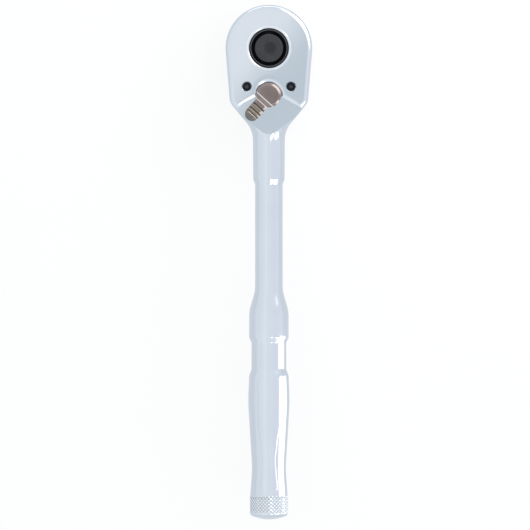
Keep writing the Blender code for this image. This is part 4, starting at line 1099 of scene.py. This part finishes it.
def makeSpring(name, spring):
    way = Vector(spring["way"]).normalized()
    side = way.orthogonal().normalized()
    other = way.cross(side)
    wire = spring["wire"]
    steps, sides = coilSteps["perTurn"] * spring["turns"], coilSteps["aroundWire"]
    places, faces = [], []
    for i in range(steps + 1):
        turn = fullTurn * spring["turns"] * i / steps
        out = side * math.cos(turn) + other * math.sin(turn)
        rise = wire + (spring["length"] - 2 * wire) * i / steps
        middle = Vector(spring["start"]) + out * spring["radius"] + way * rise
        for k in range(sides):
            around = fullTurn * k / sides
            places.append(middle + (out * math.cos(around) + way * math.sin(around)) * wire)
    for i in range(steps):
        for k in range(sides):
            n = (k + 1) % sides
            faces.append((i * sides + k, i * sides + n, (i + 1) * sides + n, (i + 1) * sides + k))
    faces += [tuple(range(sides)), tuple(range(steps * sides, (steps + 1) * sides))]
    return smoothFaces(meshFrom(name, places, faces), 50)


for springName, spring in springs.items():
    coil = makeSpring(springName, spring)
    finishPiece(coil, spring["body"], "spring_steel", finishes["oiledSpringSteel"], spring["node"])
    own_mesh(coil)


# the other inner pieces keep their solids and get their finishes

innerFinishes = {
    "ringBlackAndShade": ["button_retaining_ring"],
    "groundSteel": ["release_pin", "pawl", "pawl_pivot_pin", "pawl_plunger", "thrust_washer"],
    "oiledSpringSteel": ["lever_retaining_clip"],
    "sealRubber": ["rear_seal_ring", "front_seal_ring", "lever_seal_ring"],
}
for finishName, nodeNames in innerFinishes.items():
    for nodeName in nodeNames:
        paint(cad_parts[nodeName], finishes[finishName])
print("inner pieces finished")


# studio: pale floor, soft daylight tent, white cards and the camera

studio = {
    "floor": {"size": 3.0, "height": -0.0002, "colour": (0.86, 0.87, 0.88), "roughness": 0.9, "shadow": 0.16,
              "glow": (0.79, 0.815, 0.84)},
    "tent": 1.0,
    "tentStops": [  # from the left to the right
        (0.0, (0.88, 0.92, 0.95)), (0.12, (0.91, 0.945, 0.965)), (0.33, (1.0, 1.02, 1.03)),
        (0.365, (1.0, 1.02, 1.03)), (0.385, (0.93, 0.96, 0.98)), (0.62, (0.93, 0.95, 0.975)),
        (0.80, (0.90, 0.915, 0.955)), (1.0, (0.92, 0.92, 0.98))],
    "sideCard": {"y": (-0.187, -0.1085), "strength": 1.7,
                 "path": [(0.040, 0.0015), (0.060, 0.012), (0.060, 0.048)]},
    "greyCard": {"colours": [(0.99, 0.99, 0.995), (0.70, 0.75, 0.775)], "height": 0.09,
                 "way": (0.76, -0.65, 0.0), "fade": (-0.004, 0.0115),
                 "corners": [(-0.022, 0.022), (0.030, 0.022), (0.030, -0.034), (-0.022, -0.034)]},
    "softboxes": [  # name, place, aim, size, radiance, roll
        ("upperRight", (0.102, 0.077, 0.100), (0.0, 0.0, 0.02), (0.14, 0.14), 2.2, 45.0),
        ("farEnd", (0.0, 0.18, 0.024), (0.0, 0.0, 0.024), (0.20, 0.02), 2.2, 0.0),
        ("handleSide", (0.42, -0.78, 1.26), (0.0, -0.05, 0.02), (0.22, 0.53), 2.8, 0.0),
        ("lowRight", (1.08, -0.84, 0.70), (0.0, -0.05, 0.02), (0.48, 0.64), 2.8, 0.0)],
    "camera": {"centre": (-0.00144, -0.0800), "plane": 0.020, "distance": 6.0, "width": 0.1957,
               "sensor": 36.0, "reach": 20.0},
}


def stagePiece(name, places, faces, materialName):
    mesh = bpy.data.meshes.new(name)
    mesh.from_pydata(places, [], faces)
    obj = newObject(name, mesh)
    material = bpy.data.materials.new(materialName)
    material.use_nodes = True
    mesh.materials.append(material)
    return obj, material.node_tree


def showAs(tree, shader):
    tree.links.new(shader, tree.nodes["Material Output"].inputs["Surface"])


def whiteForLens(tree, strength):
    # the strength for camera, glossy and transmission rays, and 0 for others
    path = addNode(tree, "ShaderNodeLightPath").outputs
    seen = calc(tree, "MAXIMUM", path["Is Camera Ray"], path["Is Glossy Ray"])
    seen = calc(tree, "MAXIMUM", seen, path["Is Transmission Ray"])
    return calc(tree, "MULTIPLY", seen, strength)


def makeFloor():
    floor = studio["floor"]
    half = floor["size"] / 2
    corners = [(-half, -half, 0), (half, -half, 0), (half, half, 0), (-half, half, 0)]
    obj, tree = stagePiece("floor", corners, [(0, 1, 2, 3)], "paleFloor")
    obj.location.z = floor["height"]
    shader = tree.nodes["Principled BSDF"]
    shader.inputs["Base Color"].default_value = (*floor["colour"], 1.0)
    shader.inputs["Roughness"].default_value = floor["roughness"]
    glossy = addNode(tree, "ShaderNodeLightPath").outputs["Is Glossy Ray"]
    shown = mixColour(tree, glossy, (1.0, 1.0, 1.0), floor["glow"])
    glow = addNode(tree, "ShaderNodeEmission", {"Color": shown}).outputs["Emission"]
    white = whiteForLens(tree, 1 - floor["shadow"])
    pale = shader.outputs["BSDF"]
    above = addNode(tree, "ShaderNodeMixShader", {"Fac": white, 1: pale, 2: glow}).outputs["Shader"]
    behind = addNode(tree, "ShaderNodeNewGeometry").outputs["Backfacing"]
    clear = addNode(tree, "ShaderNodeBsdfTransparent").outputs["BSDF"]  # from underneath
    showAs(tree, addNode(tree, "ShaderNodeMixShader", {"Fac": behind, 1: above, 2: clear}).outputs["Shader"])


def makeTent():
    world = bpy.data.worlds.new("tent")
    scene.world = world
    world.use_nodes = True
    tree = world.node_tree
    ramp = addNode(tree, "ShaderNodeValToRGB")
    first, *middle, last = studio["tentStops"]
    stops = ramp.color_ramp.elements
    for stop, (place, colour) in zip(stops, (first, last)):
        stop.position = place
        stop.color = (*colour, 1.0)
    for place, colour in middle:
        stops.new(place).color = (*colour, 1.0)
    side = vectorParts(tree, addNode(tree, "ShaderNodeTexCoord").outputs["Generated"])["X"]
    tree.links.new(ranged(tree, side, (0.0, 1.0), (-1.0, 1.0)), ramp.inputs["Fac"])
    camera = addNode(tree, "ShaderNodeLightPath").outputs["Is Camera Ray"]
    background = tree.nodes["Background"].inputs
    background["Strength"].default_value = studio["tent"]
    tree.links.new(mixColour(tree, camera, ramp.outputs["Color"], (1.0, 1.0, 1.0)), background["Color"])


def makeCard(name, places, faces):
    # only the polished metal sees it
    obj, tree = stagePiece(name, places, faces, name + "Glow")
    obj.visible_camera = False
    obj.visible_shadow = False
    obj.visible_diffuse = False
    glow = addNode(tree, "ShaderNodeEmission")
    showAs(tree, glow.outputs["Emission"])
    return tree, glow.inputs


def makeCards():
    card = studio["sideCard"]
    places = [(x, y, z) for x, z in card["path"] for y in card["y"]]
    faces = [(2 * i, 2 * i + 1, 2 * i + 3, 2 * i + 2) for i in range(len(card["path"]) - 1)]
    tree, glow = makeCard("sideCard", places, faces)
    glow["Strength"].default_value = card["strength"]
    card = studio["greyCard"]
    tree, glow = makeCard("greyCard", [(x, y, card["height"]) for x, y in card["corners"]], [(0, 1, 2, 3)])
    place = addNode(tree, "ShaderNodeTexCoord").outputs["Object"]
    slant = vectorCalc(tree, "DOT_PRODUCT", "Value", place, card["way"])
    fade = ranged(tree, slant, (0.0, 1.0), card["fade"])
    tree.links.new(mixColour(tree, fade, *card["colours"]), glow["Color"])


def makeSoftboxes():
    for name, place, aim, size, radiance, roll in studio["softboxes"]:
        light = bpy.data.lights.new(name, "AREA")
        light.shape = "RECTANGLE"
        light.size, light.size_y = size
        light.energy = radiance * math.pi * size[0] * size[1]
        obj = newObject(name, light)
        obj.location = place
        facing = (Vector(aim) - Vector(place)).to_track_quat("-Z", "Y")
        obj.rotation_euler = (facing @ Quaternion((0, 0, 1), math.radians(roll))).to_euler()


def makeCamera():
    settings = studio["camera"]
    data = bpy.data.cameras.new("bench")
    camera = newObject("bench", data)
    data.sensor_width = settings["sensor"]
    data.lens = settings["sensor"] * settings["distance"] / settings["width"]
    data.clip_end = settings["reach"]
    camera.location = (*settings["centre"], settings["plane"] + settings["distance"])
    scene.camera = camera


makeFloor()
makeTent()
makeCards()
makeSoftboxes()
makeCamera()
print("studio ready")
